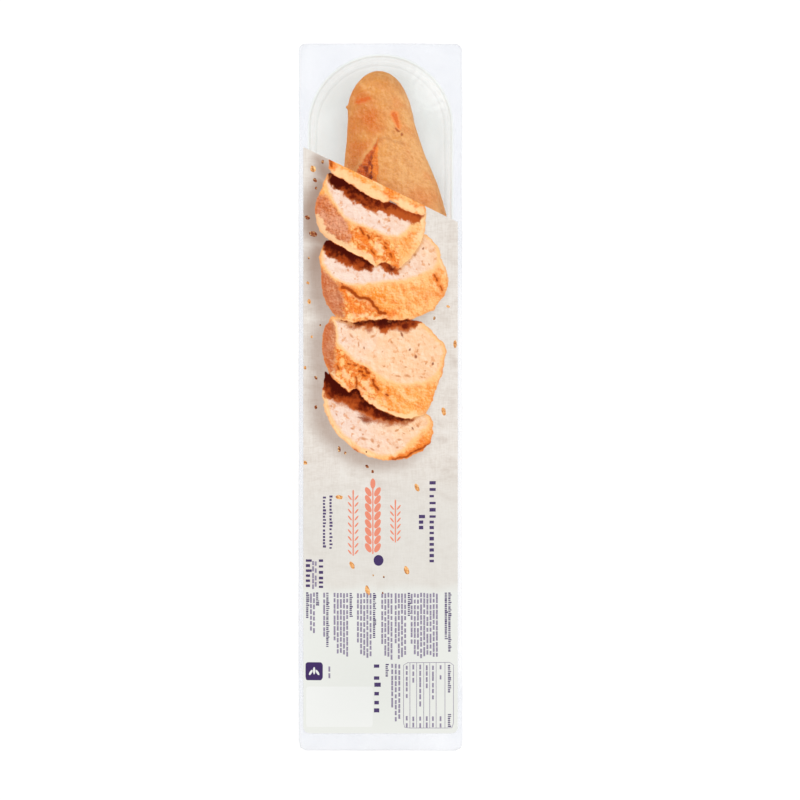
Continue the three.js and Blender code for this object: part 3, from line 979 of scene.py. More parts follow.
CRUMB_4 = (
    (-31.4, 6.1), (-31.5, 0.4), (-29.9, -6.6), (-26.6, -15.1), (-19.5, -23.2), (-11.3, -29.4), (-1.1, -33.3),
    (7.3, -33.6), (12.1, -31.1), (16.4, -26.6), (21.8, -21.5), (26.3, -17.8), (28.2, -13.6), (24.9, -9.3),
    (9.9, -7.3), (-11.3, 5.4),
)
GAPS = {
    1: (
        (
            (-28.5, 126.6), (-24.0, 124.0), (-18.4, 120.5), (-11.3, 116.2), (-4.2, 112.0), (2.1, 109.3),
            (7.1, 108.2), (14.1, 104.9), (23.3, 102.5), (21.9, 99.0), (18.4, 98.6), (14.1, 100.6), (9.9, 101.4),
            (5.6, 102.8), (1.4, 104.8), (-4.2, 106.2), (-8.5, 107.1), (-12.7, 109.2), (-16.9, 112.4),
            (-21.2, 115.5), (-25.4, 118.4), (-29.4, 122.6),
        ),
    ),
    2: (
        (
            (-30.8, 88.4), (-25.4, 86.6), (-18.4, 83.1), (-11.3, 78.8), (-4.2, 74.6), (-5.9, 71.2),
            (-11.3, 72.0), (-16.9, 73.7), (-22.6, 76.0), (-28.2, 78.5), (-32.8, 82.8),
        ),
        ((-1.1, 75.3), (2.3, 76.6), (5.9, 74.6), (10.2, 71.5), (8.8, 70.1), (4.5, 71.2), (0.8, 72.6)),
    ),
    3: (
        (
            (-9.2, 42.1), (0.0, 43.1), (9.9, 43.2), (19.8, 43.2), (22.6, 41.8), (19.8, 39.5), (14.1, 38.4),
            (9.2, 39.0), (4.5, 39.0), (2.1, 36.2), (-1.1, 39.5), (-6.4, 39.8),
        ),
        ((-21.4, 44.4), (-16.0, 42.4), (-9.0, 42.8), (-2.0, 43.4), (-4.0, 41.0), (-9.0, 40.4), (-15.5, 41.0)),
    ),
    4: (
        (
            (-32.1, 14.1), (-26.8, 9.9), (-22.6, 6.1), (-17.7, 2.5), (-12.7, 4.2), (-9.0, -2.3), (-4.2, -5.1),
            (1.4, -8.5), (9.9, -11.6), (18.9, -12.6), (9.9, -14.4), (2.8, -13.6), (-2.8, -11.6), (-8.5, -9.2),
            (-14.1, -6.6), (-19.8, -3.6), (-25.4, -1.4), (-30.4, 0.2), (-32.6, 4.8),
        ),
    ),
}
FLOURY = {
    1: (
        (-37.3, 112.7), (-31.4, 114.1), (-25.4, 107.3), (-19.5, 99.3), (-16.4, 90.8), (-18.4, 84.2),
        (-31.1, 90.8), (-36.4, 98.6),
    ),
    2: ((-35.0, 73.2), (-29.9, 68.9), (-22.9, 63.3), (-20.9, 54.8), (-20.3, 45.2), (-26.8, 47.0), (-33.2, 57.6)),
    3: ((-33.1, 43.5), (-26.0, 42.1), (-24.9, 32.2), (-25.4, 19.5), (-26.6, 9.9), (-32.5, 20.9)),
}
BURST = (
    (
        (-17.8, 98.8), (-12.0, 96.5), (-6.0, 93.5), (1.0, 90.8), (7.0, 86.0), (10.5, 80.0), (11.2, 75.0),
        (9.9, 71.6), (4.0, 74.6), (-1.0, 76.8), (-5.6, 75.1), (-11.0, 79.5), (-16.5, 83.5), (-17.5, 90.0),
    ),
    (
        (-23.0, 64.2), (-18.5, 61.4), (-12.0, 56.8), (-4.5, 53.8), (-0.5, 48.6), (5.5, 47.2), (7.0, 43.2),
        (-4.0, 43.0), (-16.0, 41.6), (-21.5, 44.0), (-22.5, 54.0),
    ),
    (
        (-25.5, 30.0), (-20.5, 25.8), (-13.0, 20.0), (-7.0, 17.6), (-3.4, 12.0), (-0.6, 4.4), (-3.0, -5.0),
        (-8.5, -2.5), (-13.0, 4.5), (-18.0, 3.0), (-26.5, 10.5), (-27.5, 17.0),
    ),
)
STAINS = (
    (
        (-31.4, 3.0), (-26.0, 1.5), (-18.4, 0.0), (-8.0, -6.0), (0.0, -10.5), (10.0, -12.6), (20.5, -11.6),
        (18.0, -14.6), (9.0, -16.6), (-2.0, -15.9), (-7.0, -14.8), (-11.0, -10.6), (-18.0, -6.0), (-25.5, -3.8),
    ),
    ((-25.4, 44.5), (-18.0, 42.0), (-4.0, 42.0), (-3.6, 37.0), (-5.6, 35.2), (-8.8, 39.0), (-17.5, 39.6)),
    ((4.0, 42.0), (20.0, 43.0), (21.8, 40.0), (16.5, 37.2), (10.0, 36.8), (4.0, 37.4)),
)
# Lines of the printed bread as half a width and the points that they run through.
CRACKS = (
    (0.25, (-22.4, 65.6), (-21.4, 62.6)),
    (0.85, (-21.6, 62.0), (-18.8, 61.8), (-16.2, 59.9), (-14.0, 57.3), (-11.0, 55.9), (-7.0, 55.2), (-4.6, 53.8)),
    (0.85, (-4.6, 53.8), (-3.4, 51.6), (-1.6, 49.6), (-0.8, 47.8), (2.6, 47.2)),
    (0.4, (31.0, 68.6), (32.2, 65.8)), (0.35, (33.6, 62.8), (34.9, 60.2)), (0.5, (-11.2, 94.8), (-9.6, 91.6)),
    (0.8, (-7.4, 91.0), (-6.6, 89.8)), (0.45, (-4.8, 82.6), (-3.4, 80.8)), (0.4, (1.8, 85.2), (3.4, 83.8)),
    (0.4, (5.4, 80.4), (6.2, 78.8)), (0.35, (7.2, 73.4), (9.6, 72.2)), (0.3, (-2.2, 90.8), (0.2, 90.2)),
    (0.4, (2.6, 86.8), (3.6, 86.4)), (0.8, (-8.4, 16.2), (-7.0, 13.8)), (0.7, (-11.8, 14.2), (-10.2, 14.0)),
    (0.6, (-10.2, 12.2), (-8.0, 11.6)), (0.5, (-13.9, 11.4), (-13.2, 7.2), (-13.4, 5.4)),
    (0.65, (-4.8, 9.4), (-3.4, 6.6), (-1.4, 4.2)), (0.4, (-18.4, 18.8), (-16.8, 18.4)),
    (0.4, (-15.0, 18.4), (-13.8, 18.2)), (0.35, (-11.4, 17.2), (-10.6, 16.4)), (0.35, (-24.4, 17.6), (-23.6, 15.4)),
    (0.5, (3.2, 1.8), (3.8, 0.8)), (0.5, (28.9, -25.6), (25.5, -27.9), (20.6, -30.4), (13.5, -33.8), (7.0, -35.3)),
    (0.9, (-14.6, -30.2), (-13.2, -30.8)), (0.6, (-28.8, 134.2), (-27.8, 131.0)),
)
EMBERS = (
    (1.3, (-12.5, 90.0), (-9.5, 88.5), (-6.0, 84.5), (-3.2, 81.2)), (0.9, (-11.0, 92.0), (-6.5, 88.5)),
    (1.1, (1.5, 85.0), (4.5, 83.0), (6.5, 80.0), (7.0, 77.0)), (0.8, (6.8, 75.6), (10.0, 73.0)),
    (1.2, (-21.2, 61.5), (-19.5, 57.0), (-16.5, 53.0), (-14.8, 49.5), (-13.0, 46.5)),
    (0.9, (-16.0, 51.5), (-12.0, 50.5), (-9.5, 47.0)), (1.7, (3.0, 48.0), (7.5, 47.0)),
    (0.8, (-6.0, 51.0), (-4.0, 48.8)), (1.3, (31.0, 67.8), (33.0, 64.0), (34.6, 61.0)),
    (1.0, (-19.5, 9.5), (-18.0, 6.5)), (1.2, (-24.5, 23.0), (-23.5, 21.0)),
    (1.0, (-14.5, 11.5), (-13.6, 8.5)), (1.6, (-11.5, 15.5), (-8.0, 12.0)), (0.8, (-5.0, 9.5), (-2.0, 5.0)),
    (0.8, (-20.0, 19.2), (-12.5, 17.4)), (1.0, (-11.2, 2.2), (-10.0, 1.0)), (1.2, (20.5, 102.9), (22.6, 101.6)),
    (1.4, (29.0, -24.6), (25.0, -27.2), (20.0, -30.0), (12.5, -33.6), (6.0, -35.0)),
    (1.0, (22.0, -25.0), (23.5, -26.0)),
    (1.4, (1.5, 114.6), (4.5, 113.6)), (0.8, (4.2, 116.4), (4.8, 115.2)), (0.9, (7.2, 112.6), (9.2, 111.6)),
    (1.0, (18.5, 108.4), (20.5, 107.4)), (1.3, (-28.8, 135.0), (-27.4, 131.0), (-26.0, 129.0)),
)
CREAM = (
    (2.4, (-35.8, 101.0), (-34.2, 96.0), (-30.5, 92.0), (-25.0, 88.2), (-18.0, 84.6), (-10.0, 80.4), (-5.0, 77.0)),
    (2.6, (-26.0, 128.0), (-15.5, 122.2), (-4.2, 115.0), (2.0, 112.4)),
    (1.8, (9.0, 110.2), (14.0, 108.0), (22.0, 105.0)),
    (1.2, (-19.4, 59.8), (-13.3, 55.6), (-7.4, 53.4), (-4.2, 50.0)), (1.5, (-18.0, 44.2), (-14.0, 46.0), (-8.0, 45.6)),
    (1.4, (-6.0, 44.6), (0.0, 45.0), (4.0, 46.0)), (1.4, (-27.0, 12.6), (-22.6, 8.6), (-19.0, 5.2)),
    (1.6, (-10.5, 2.6), (-8.0, -0.4), (-3.6, -3.0), (0.4, -6.6), (7.0, -9.2), (14.0, -11.4), (20.0, -9.6)),
    (1.6, (-32.4, 6.0), (-32.0, -3.0), (-29.0, -11.6), (-24.4, -19.0), (-19.0, -24.4), (-12.5, -29.6), (-4.0, -33.4)),
    (2.6, (24.6, 101.5), (24.0, 95.0), (21.8, 89.0)), (1.8, (36.6, 70.0), (34.0, 78.0), (30.0, 86.0)),
    (1.6, (-2.0, 87.0), (1.0, 82.0)), (1.4, (-21.5, 14.0), (-19.0, 12.0)), (1.6, (-8.5, 8.6), (-6.0, 3.0)),
)
# Holes and pores of the printed crumb as x, y, width, how long for their width and turn in degrees.
HOLES = (
    (-8.4, -12.9, 3.0, 1.8, 62), (-11.5, -11.4, 0.8, 3.2, 75), (-14.0, -5.7, 1.2, 1.9, 62), (11.8, 35.2, 1.2, 2.4, 18),
    (19.6, 22.8, 1.3, 1.3, 0), (-9.2, 27.4, 0.7, 1.9, 0), (24.0, 83.4, 0.8, 1.5, -25), (19.2, 80.5, 1.1, 1.3, -30),
    (16.0, 76.2, 0.9, 1.3, 0), (16.7, 26.5, 0.9, 1.4, -40), (29.8, 18.7, 1.0, 1.3, 0), (18.3, -17.6, 1.1, 1.3, 40),
    (-6.6, 72.6, 2.2, 1.4, 70), (-31.8, 119.6, 2.0, 1.4, 40), (-34.4, 80.0, 1.0, 1.2, 0),
)
PORES = (
    (-2.8, 103.8, 1.5, 2.2, 35), (-0.9, 98.7, 1.2, 1.5, 0), (5.0, 99.4, 0.8, 1.2, 0), (-16.2, 34.2, 1.1, 2.3, 40),
    (-12.3, 30.0, 1.0, 3.0, -5), (-4.4, 34.2, 1.3, 2.2, -70), (20.6, 26.0, 0.9, 2.2, -10), (21.8, 29.2, 1.0, 1.8, -35),
    (9.8, 11.7, 1.0, 2.9, 84), (15.4, 12.0, 1.3, 2.3, 80), (23.2, 11.4, 0.8, 1.8, 70), (14.0, 17.0, 0.8, 2.0, 80),
    (1.9, 17.0, 0.8, 2.0, 80), (25.8, 19.0, 0.8, 1.6, -20), (1.0, 25.5, 0.8, 1.6, -40), (25.0, 14.6, 0.8, 1.6, 60),
    (23.9, 76.5, 0.8, 1.3, 0), (27.6, 75.0, 0.9, 1.6, 30), (-26.0, 70.2, 0.7, 1.4, 0), (13.0, 68.4, 0.8, 1.2, 30),
    (-18.4, 71.6, 1.0, 1.6, 10), (-9.4, -23.4, 1.3, 2.8, 78), (-4.8, -24.4, 1.3, 1.8, 35), (-4.4, -29.4, 1.1, 2.5, 60),
    (-1.2, -27.8, 1.2, 1.6, 20), (9.2, -19.0, 1.2, 1.8, -60), (20.9, -16.6, 1.0, 1.4, 20), (10.8, -24.2, 1.0, 2.4, 80),
    (5.8, -33.4, 1.3, 1.3, 0), (9.8, -29.0, 0.9, 1.5, 80), (-10.0, -21.0, 0.8, 1.9, 70), (-16.0, -17.6, 0.9, 1.8, 60),
    (-11.2, -18.2, 0.8, 1.4, 80), (-24.5, -9.5, 0.8, 2.2, 30), (-20.3, -9.5, 0.8, 1.4, 30), (-28.0, -5.0, 0.9, 1.5, 40),
    (13.0, -20.5, 0.7, 1.6, 70), (16.5, -19.0, 0.7, 1.5, 40), (-22.0, 38.6, 0.8, 1.8, 20), (6.0, 31.0, 0.8, 1.6, 70),
)
GAP_REACH = 3.5
BREAD = ((HEEL, None), (SLICE_1, CRUMB_1), (SLICE_2, CRUMB_2), (SLICE_3, CRUMB_3), (SLICE_4, CRUMB_4))


def picture_of_slices(flat):
    """The printed bread as distances in from the edges of its parts, for points on the label."""
    wobble = np.column_stack((noise(flat, 3.0, 51), noise(flat, 3.0, 52))) * 0.45
    wobble += np.column_stack((noise(flat, 1.3, 53), noise(flat, 1.3, 54))) * 0.25
    at = flat + wobble
    ragged = flat + wobble * 2.2
    far = np.full(len(flat), -30.0)
    layers = {"bread": far, "crumb": far, "gap": far, "floury": far}
    above, below_edge, shadow = far, -far, far

    def add(key, depth, keenness=1.0):
        layers[key] = np.maximum(layers[key], np.minimum(depth, -above * keenness))

    for index, (outline, crumb) in enumerate(BREAD):
        slice_depth = polygon_distance(at, outline)
        shown = (slice_depth > -1.5) & (above <= 0)
        below_edge = np.where(shown, np.minimum(-above, below_edge), below_edge)
        layers["bread"] = np.maximum(layers["bread"], slice_depth)
        if crumb:
            add("crumb", np.minimum(polygon_distance(at, crumb), slice_depth))
        for gap in GAPS.get(index, ()):
            under = np.maximum(polygon_distance(ragged, gap), polygon_distance(ragged - (0.0, GAP_REACH), gap))
            add("gap", np.minimum(under, 3.0 * (slice_depth + 0.2)), 4.0)
        if index in FLOURY:
            add("floury", polygon_distance(at, FLOURY[index]))
        above = np.maximum(above, slice_depth)
        shadow = np.maximum(shadow, polygon_distance(flat + np.array((6.0, 3.0)), outline))
    layers["below_edge"] = below_edge
    layers["shade"] = smooth(shadow, -8.0, 3.5)
    layers["burst"] = np.max([polygon_distance(ragged, zone) for zone in BURST], 0)
    layers["stain"] = np.max([polygon_distance(ragged, zone) for zone in STAINS], 0)
    for key, lines, place in (("crack", CRACKS, at), ("ember", EMBERS, ragged), ("cream", CREAM, ragged)):
        layers[key] = np.max([width - line_distance(place, line) for width, *line in lines], 0)
    for key, ovals in (("hole", HOLES), ("pore", PORES)):
        layers[key] = np.max([oval_depth(at, *oval) for oval in ovals], 0)
    return layers


# The sheet's points: how many across, and how many rows in its foot corners, its plain part and its picture.
LABEL_COLUMNS = 190
LABEL_ROWS = (8, 85, 367)
PLAIN_LENGTH = 145.0
# The underside's points stand further apart, with more of them near its edges, and a little clear of the film.
UNDERSIDE_STEP = 4.5
UNDERSIDE_END = 10.0
UNDERSIDE_COLUMNS = (2, 4, 5, 6, 7, 8, 9, 10, 12, 14, 17, 20, 24, 30, 38, 46, 54, 62, 70, 78, 86, 95)
UNDERSIDE_LIFT = 0.05
# Printed boxes as left, right, low, high and the radius of their corners.
DATE_BOX = (-42.0, -4.4, -186.4, -163.5, 1.0)
BADGE = (-42.4, -32.6, -160.0, -149.8, 1.3)


def rounded_box_distance(flat, left, right, low, high, radius):
    middle = np.array(((left + right) / 2, (low + high) / 2))
    half = np.array(((right - left) / 2, (high - low) / 2))
    past = np.abs(flat - middle) - half + radius
    return radius - np.linalg.norm(np.maximum(past, 0), axis=1) - np.minimum(past.max(1), 0)


def label_grid():
    """Points of the label in rows from its foot to its slanted end, and each row's distance from the foot."""
    length = LABEL_SLANT_Y - LABEL_FOOT
    ends = (0.0, LABEL_CORNER, PLAIN_LENGTH, length)
    spans = [np.linspace(*span, endpoint=False) for span in zip(ends, ends[1:], LABEL_ROWS)]
    from_foot = np.append(np.concatenate(spans), length)
    short = np.maximum(LABEL_CORNER - from_foot, 0)
    half = LABEL_HALF_WIDTH - LABEL_CORNER + np.sqrt(LABEL_CORNER**2 - short**2)
    x = np.linspace(-1, 1, LABEL_COLUMNS + 1)[None, :] * half[:, None]
    y = LABEL_FOOT + from_foot[:, None] * (1 + LABEL_SLANT * x / length)
    return np.column_stack((x.ravel(), y.ravel())), from_foot


def label_rim(rows, side):
    """The points round the edge of the sheet, in order."""
    columns = side - 1
    foot, head = np.arange(columns), rows * side + np.arange(columns, 0, -1)
    return np.concatenate((foot, np.arange(rows) * side + columns, head, np.arange(rows, 0, -1) * side))


def label_underside(flat, from_foot, rim, side):
    """Which points the underside keeps, the rim's before the others, and the triangles between them."""
    from_end = np.clip(np.minimum(from_foot, from_foot[-1] - from_foot), 0, UNDERSIDE_END)
    marks = np.floor(from_foot / UNDERSIDE_STEP) + 100 * np.floor(from_end)
    apart = np.flatnonzero(np.diff(marks))[1:-1]
    across = np.array(UNDERSIDE_COLUMNS)
    across = np.concatenate((across, side - 1 - across[-2::-1]))
    kept = np.concatenate((rim, (apart[:, None] * side + across[None, :]).ravel()))
    ring = [(i, (i + 1) % len(rim)) for i in range(len(rim))]
    inner = len(rim) + np.arange(len(apart) * len(across)).reshape(len(apart), -1)
    lines = np.stack((inner[:-1].ravel(), inner[1:].ravel()), 1).tolist()
    found = delaunay_2d_cdt([tuple(point) for point in flat[kept]], ring + lines, [], 1, 1e-6)
    return kept, [tuple(found[3][i][0] for i in reversed(face)) for face in found[2]]


def make_label():
    """One thin sheet on the film, whose points carry the printed picture."""
    flat, from_foot = label_grid()
    rows, side = len(from_foot) - 1, LABEL_COLUMNS + 1
    low = np.column_stack((flat, LABEL_REST + film_rise(flat[:, 0], flat[:, 1])))
    high = low + np.array((0, 0, LABEL_THICKNESS))

    r, c = np.meshgrid(np.arange(rows), np.arange(LABEL_COLUMNS), indexing="ij")
    a = (r * side + c).ravel()
    over = np.stack((a, a + 1, a + side + 1, a + side), 1)
    rim = label_rim(rows, side)
    kept, under = label_underside(flat, from_foot, rim, side)
    layer = len(flat)
    first, second = np.arange(len(rim)), np.roll(np.arange(len(rim)), -1)
    edge = np.stack((layer + first, layer + second, rim[second], rim[first]), 1)
    faces = over.tolist() + [tuple(layer + i for i in face) for face in under] + edge.tolist()

    layers = picture_of_slices(flat)
    layers["date_box"] = rounded_box_distance(flat, *DATE_BOX)
    layers["badge"] = rounded_box_distance(flat, *BADGE)
    layers = {key: np.append(value, value[kept]) for key, value in layers.items()}
    lift = np.where(np.arange(len(kept)) < len(rim), 0.0, UNDERSIDE_LIFT)
    underside = low[kept] + lift[:, None] * (0, 0, 1)
    return mesh_object("front_label_sheet", np.vstack((high, underside)), faces, layers, crisp=True)


def printed_linen(tree, settings, shade):
    """Crumpled linen that fades into the plain panel of the small print."""
    warp = tree.noise(0.8, 3.0, 0.6, stretch=(1.0, 0.12, 1.0))
    weft = tree.noise(0.8, 3.0, 0.6, stretch=(0.12, 1.0, 1.0))
    folds = tree.noise(30.0, 3.0, 0.5, distortion=1.2)
    creases = tree.slopes(17.0, 4.0, 0.55, stretch=(0.7, 1.3, 1.0), distortion=1.4)
    threads = (warp + weft).between(0.8, 1.25)
    linen = tree.mix(threads * 0.6 + folds.between(0.45, 0.8) * 0.3, tuple(settings.linen), tuple(settings.linen_dark))
    linen = tree.lit(linen, creases, 1.1, seen(240, 236, 231), seen(188, 172, 160))
    panel = (tree.axis("Y") + (folds - 0.5) * 10.0).between(-104.0, -113.0)
    lower = tree.axis("Y").between(-25.0, -75.0) * 0.62
    linen = tree.mix(lower, linen, seen(220, 218, 212))
    upper = tree.axis("Y").between(45.0, 85.0, 0.6, 0.88)
    linen = tree.mix(shade * (1.0 - panel) * upper, linen, seen(158, 130, 114))
    return tree.mix(panel * 0.9, linen, tuple(settings.panel))


def printed_crust(tree, settings, layers):
    """Glazed orange crust: smooth where it is whole, lumpy where it has burst and floury on the flanks."""
    soft = tree.noise(8.0, 3.0, 0.55, distortion=0.6)
    fine = tree.noise(1.6, 4.0, 0.62)
    bright = seen(255, 216, 162)
    crust = tree.mix((soft * 0.9 + fine * 0.5).between(0.5, 0.85), tuple(settings.crust_dark), tuple(settings.crust))
    pale = (soft * 0.6 + tree.axis("X").between(-24.0, 34.0) * 0.5).between(0.4, 0.85)
    pale = pale * tree.axis("Y").between(15.0, 48.0, 0.15, 0.5)
    crust = tree.mix(pale, crust, seen(255, 200, 134))
    crust = tree.lit(crust, tree.slopes(9.0, 3.0, 0.5, distortion=0.4), 3.4, bright, seen(238, 112, 22))
    crust = tree.lit(crust, tree.slopes(2.8, 4.0, 0.6), 2.8, bright, seen(214, 98, 24))
    grit = tree.noise(0.9, 3.0, 0.62)
    crust = tree.mix(grit.between(0.52, 0.7) * 0.4, crust, seen(236, 126, 40))
    crust = tree.mix(grit.between(0.48, 0.3) * 0.4, crust, seen(255, 212, 152))
    lip = layers["crumb"].frayed(fine, 3.0).between(-3.4, -0.2) * 0.5
    crust = tree.mix(lip, crust, seen(255, 208, 148))

    seams = tree.seams(4.6, 5.0)
    lumps = tree.mix(seams.frayed(fine, 0.24).between(0.0, 0.24), seen(234, 112, 28), seen(255, 186, 104))
    lumps = tree.mix(seams.frayed(fine, 0.3).between(0.16, 0.4) * 0.7, lumps, seen(255, 214, 154))
    lumps = tree.lit(lumps, tree.slopes(2.4, 5.0, 0.66), 3.4, bright, seen(186, 78, 18))
    burst = layers["burst"].frayed(soft, 8.0).between(-1.0, 1.4)
    crust = tree.mix(burst * 0.9, crust, lumps)

    net = tree.seams(2.3, 2.6) + (fine - 0.5) * 0.5
    skin = tree.mix(net.between(-0.05, 0.3), seen(180, 84, 44), seen(224, 128, 80))
    skin = tree.mix((soft * 0.8 + grit * 0.6).between(0.56, 0.82) * 0.6, skin, seen(232, 170, 146))
    skin = tree.mix(grit.between(0.48, 0.3) * 0.6, skin, seen(160, 70, 36))
    skin = tree.mix(tree.axis("Y").between(92.0, 66.0) * 0.5, skin, seen(178, 80, 38))
    skin = tree.lit(skin, tree.slopes(3.4, 5.0, 0.66), 3.0, seen(250, 196, 156), seen(150, 66, 34))
    floury = layers["floury"].frayed(fine, 5.0).frayed(soft, 4.0).between(-1.8, 1.4)
    crust = tree.mix(floury * 0.85, crust, skin)
    edge = layers["bread"] + (soft - 0.5) * 5.0
    crust = tree.mix(floury * edge.between(0.0, 4.5, 0.5, 0.0), crust, seen(190, 88, 46))

    cream = layers["cream"].frayed(fine, 3.0).frayed(soft, 4.5).between(-0.6, 1.2)
    crust = tree.mix(cream * 0.7, crust, seen(255, 218, 166))
    ember = layers["ember"].frayed(fine, 4.0).between(-1.2, 1.2)
    crust = tree.mix(ember * 0.8, crust, tree.mix(grit.between(0.4, 0.62), seen(252, 142, 50), seen(232, 102, 24)))
    beside_crack = layers["crack"].frayed(fine, 2.0).between(-2.2, 0.2)
    crust = tree.mix(beside_crack * 0.6, crust, seen(230, 112, 28))
    crack = layers["crack"].frayed(fine, 1.6).between(-0.5, 0.45)
    crust = tree.mix(crack * 0.95, crust, seen(160, 62, 10))
    rim = layers["bread"].frayed(fine, 1.4).between(0.1, 1.6, 0.35, 0.0)
    return tree.mix(rim, crust, seen(222, 134, 76))


def printed_crumb(tree, settings, layers):
    """Open crumb with pores of every size, pinker on the left and toasted at the rim."""
    grain = tree.noise(0.8, 3.0, 0.6)
    tone = tree.noise(11.0, 3.0, 0.55)
    y = tree.axis("Y")
    shift = y.between(42.0, 60.0) * 42.0 + y.between(4.0, -12.0) * 18.0 - 18.0
    rightward = (tree.axis("X") - shift + (tone - 0.5) * 50.0).between(-28.0, 26.0)
    pale = tree.mix(rightward, seen(244, 216, 200), tuple(settings.crumb))
    pale = tree.lit(pale, tree.slopes(2.2, 5.0, 0.62), 1.5, seen(255, 240, 222), seen(222, 158, 112))
    pale = tree.lit(pale, tree.slopes(6.0, 3.0, 0.55), 2.0, seen(255, 236, 214), seen(230, 172, 130))
    region = tree.noise(7.0, 2.0, 0.5)
    pores = tree.noise(2.3, 2.0, 0.55, stretch=(0.8, 0.75, 1.0)).between(0.54, 0.7) * region.between(0.36, 0.55)
    pale = tree.mix(pores * 0.7, pale, seen(228, 150, 92))
    stain = layers["stain"].frayed(grain, 2.5).frayed(tone, 4.0).between(-1.2, 1.6)
    pale = tree.mix(stain * 0.85, pale, seen(184, 100, 60))
    pore = layers["pore"].frayed(grain, 1.2).between(-0.8, 0.6)
    pale = tree.mix(pore * 0.75, pale, seen(206, 126, 68))
    hole = layers["hole"].frayed(grain, 1.3).between(-1.0, 0.7)
    pale = tree.mix(hole * 0.9, pale, seen(142, 60, 20))
    toasted = layers["crumb"].frayed(grain, 1.6).between(0.1, 2.2, 0.7, 0.0)
    pale = tree.mix(toasted, pale, seen(255, 196, 124))
    shadow = layers["below_edge"].frayed(grain, 2.5).between(0.0, 3.0, 0.45, 0.0)
    return tree.mix(shadow, pale, seen(190, 116, 72))


def printed_gap(tree, settings, layers, streaks):
    """The shade between two slices: nearly black under the upper one and warm brown where it fades."""
    x, y = tree.axis("X"), tree.axis("Y")
    wide = tree.noise(5.0, 4.0, 0.6)
    sideways = x.between(-10.0, 4.0) * y.between(55.0, 68.0) * 3.0 + x.between(4.0, 20.0) * 1.4
    sideways = sideways - x.between(-13.0, -24.0) * 3.0
    below = layers["below_edge"] + (streaks - 0.5) * 5.0 + (wide - 0.5) * 7.0 + sideways
    warm = tree.mix(wide.between(0.38, 0.62), seen(104, 26, 4), seen(158, 62, 18))
    depth = tree.mix(below.between(0.6, 4.2), tuple(settings.gap), warm)
    depth = tree.mix(below.between(4.2, 7.6) * 0.9, depth, seen(188, 86, 32))
    return tree.mix(layers["gap"].frayed(streaks, 3.0).between(0.9, -1.0) * 0.7, depth, seen(204, 114, 60))


def label_material(settings):
    material, tree = new_material("printed label")
    keys = ("bread", "crumb", "gap", "floury", "shade", "below_edge", "burst", "stain", "crack", "ember", "cream")
    keys += ("hole", "pore")
    layers = {key: tree.attribute(key) for key in keys}
    grain = tree.noise(0.8, 3.0, 0.6)
    streaks = tree.noise(1.5, 4.0, 0.65, stretch=(1.0, 0.5, 1.0))
    blotches = tree.noise(9.0, 3.0, 0.6)

    linen = printed_linen(tree, settings, layers["shade"])
    crust = printed_crust(tree, settings, layers)
    pale = printed_crumb(tree, settings, layers)
    baked = tree.mix(layers["crumb"].frayed(grain, 1.2).between(-0.35, 0.35), crust, pale)
    gap = layers["gap"].frayed(streaks, 3.6).between(-1.5, -0.1)
    baked = tree.mix(gap, baked, printed_gap(tree, settings, layers, streaks))
    colour = tree.mix(layers["bread"].frayed(grain, 0.6).between(-0.25, 0.25), linen, baked)

    colour = tree.mix(tree.attribute("date_box").between(-0.1, 0.1), colour, tuple(settings.date_box))
    colour = tree.mix(tree.attribute("badge").between(-0.1, 0.1), colour, tuple(settings.ink))

    shader = principled(
        tree,
        base_color=colour,
        roughness=blotches.between(0.2, 0.8, 0.42, 0.55),
        normal=tree.bump(film_creases(tree), 0.3, 0.3),
        specular_ior_level=0.04,
    )
    surface(tree, shader)
    return material


# ---- Print laid on the label by Geometry Nodes ----


def input_socket(tree, label, kind):
    return tree.interface.new_socket(label, in_out="INPUT", socket_type=kind).identifier


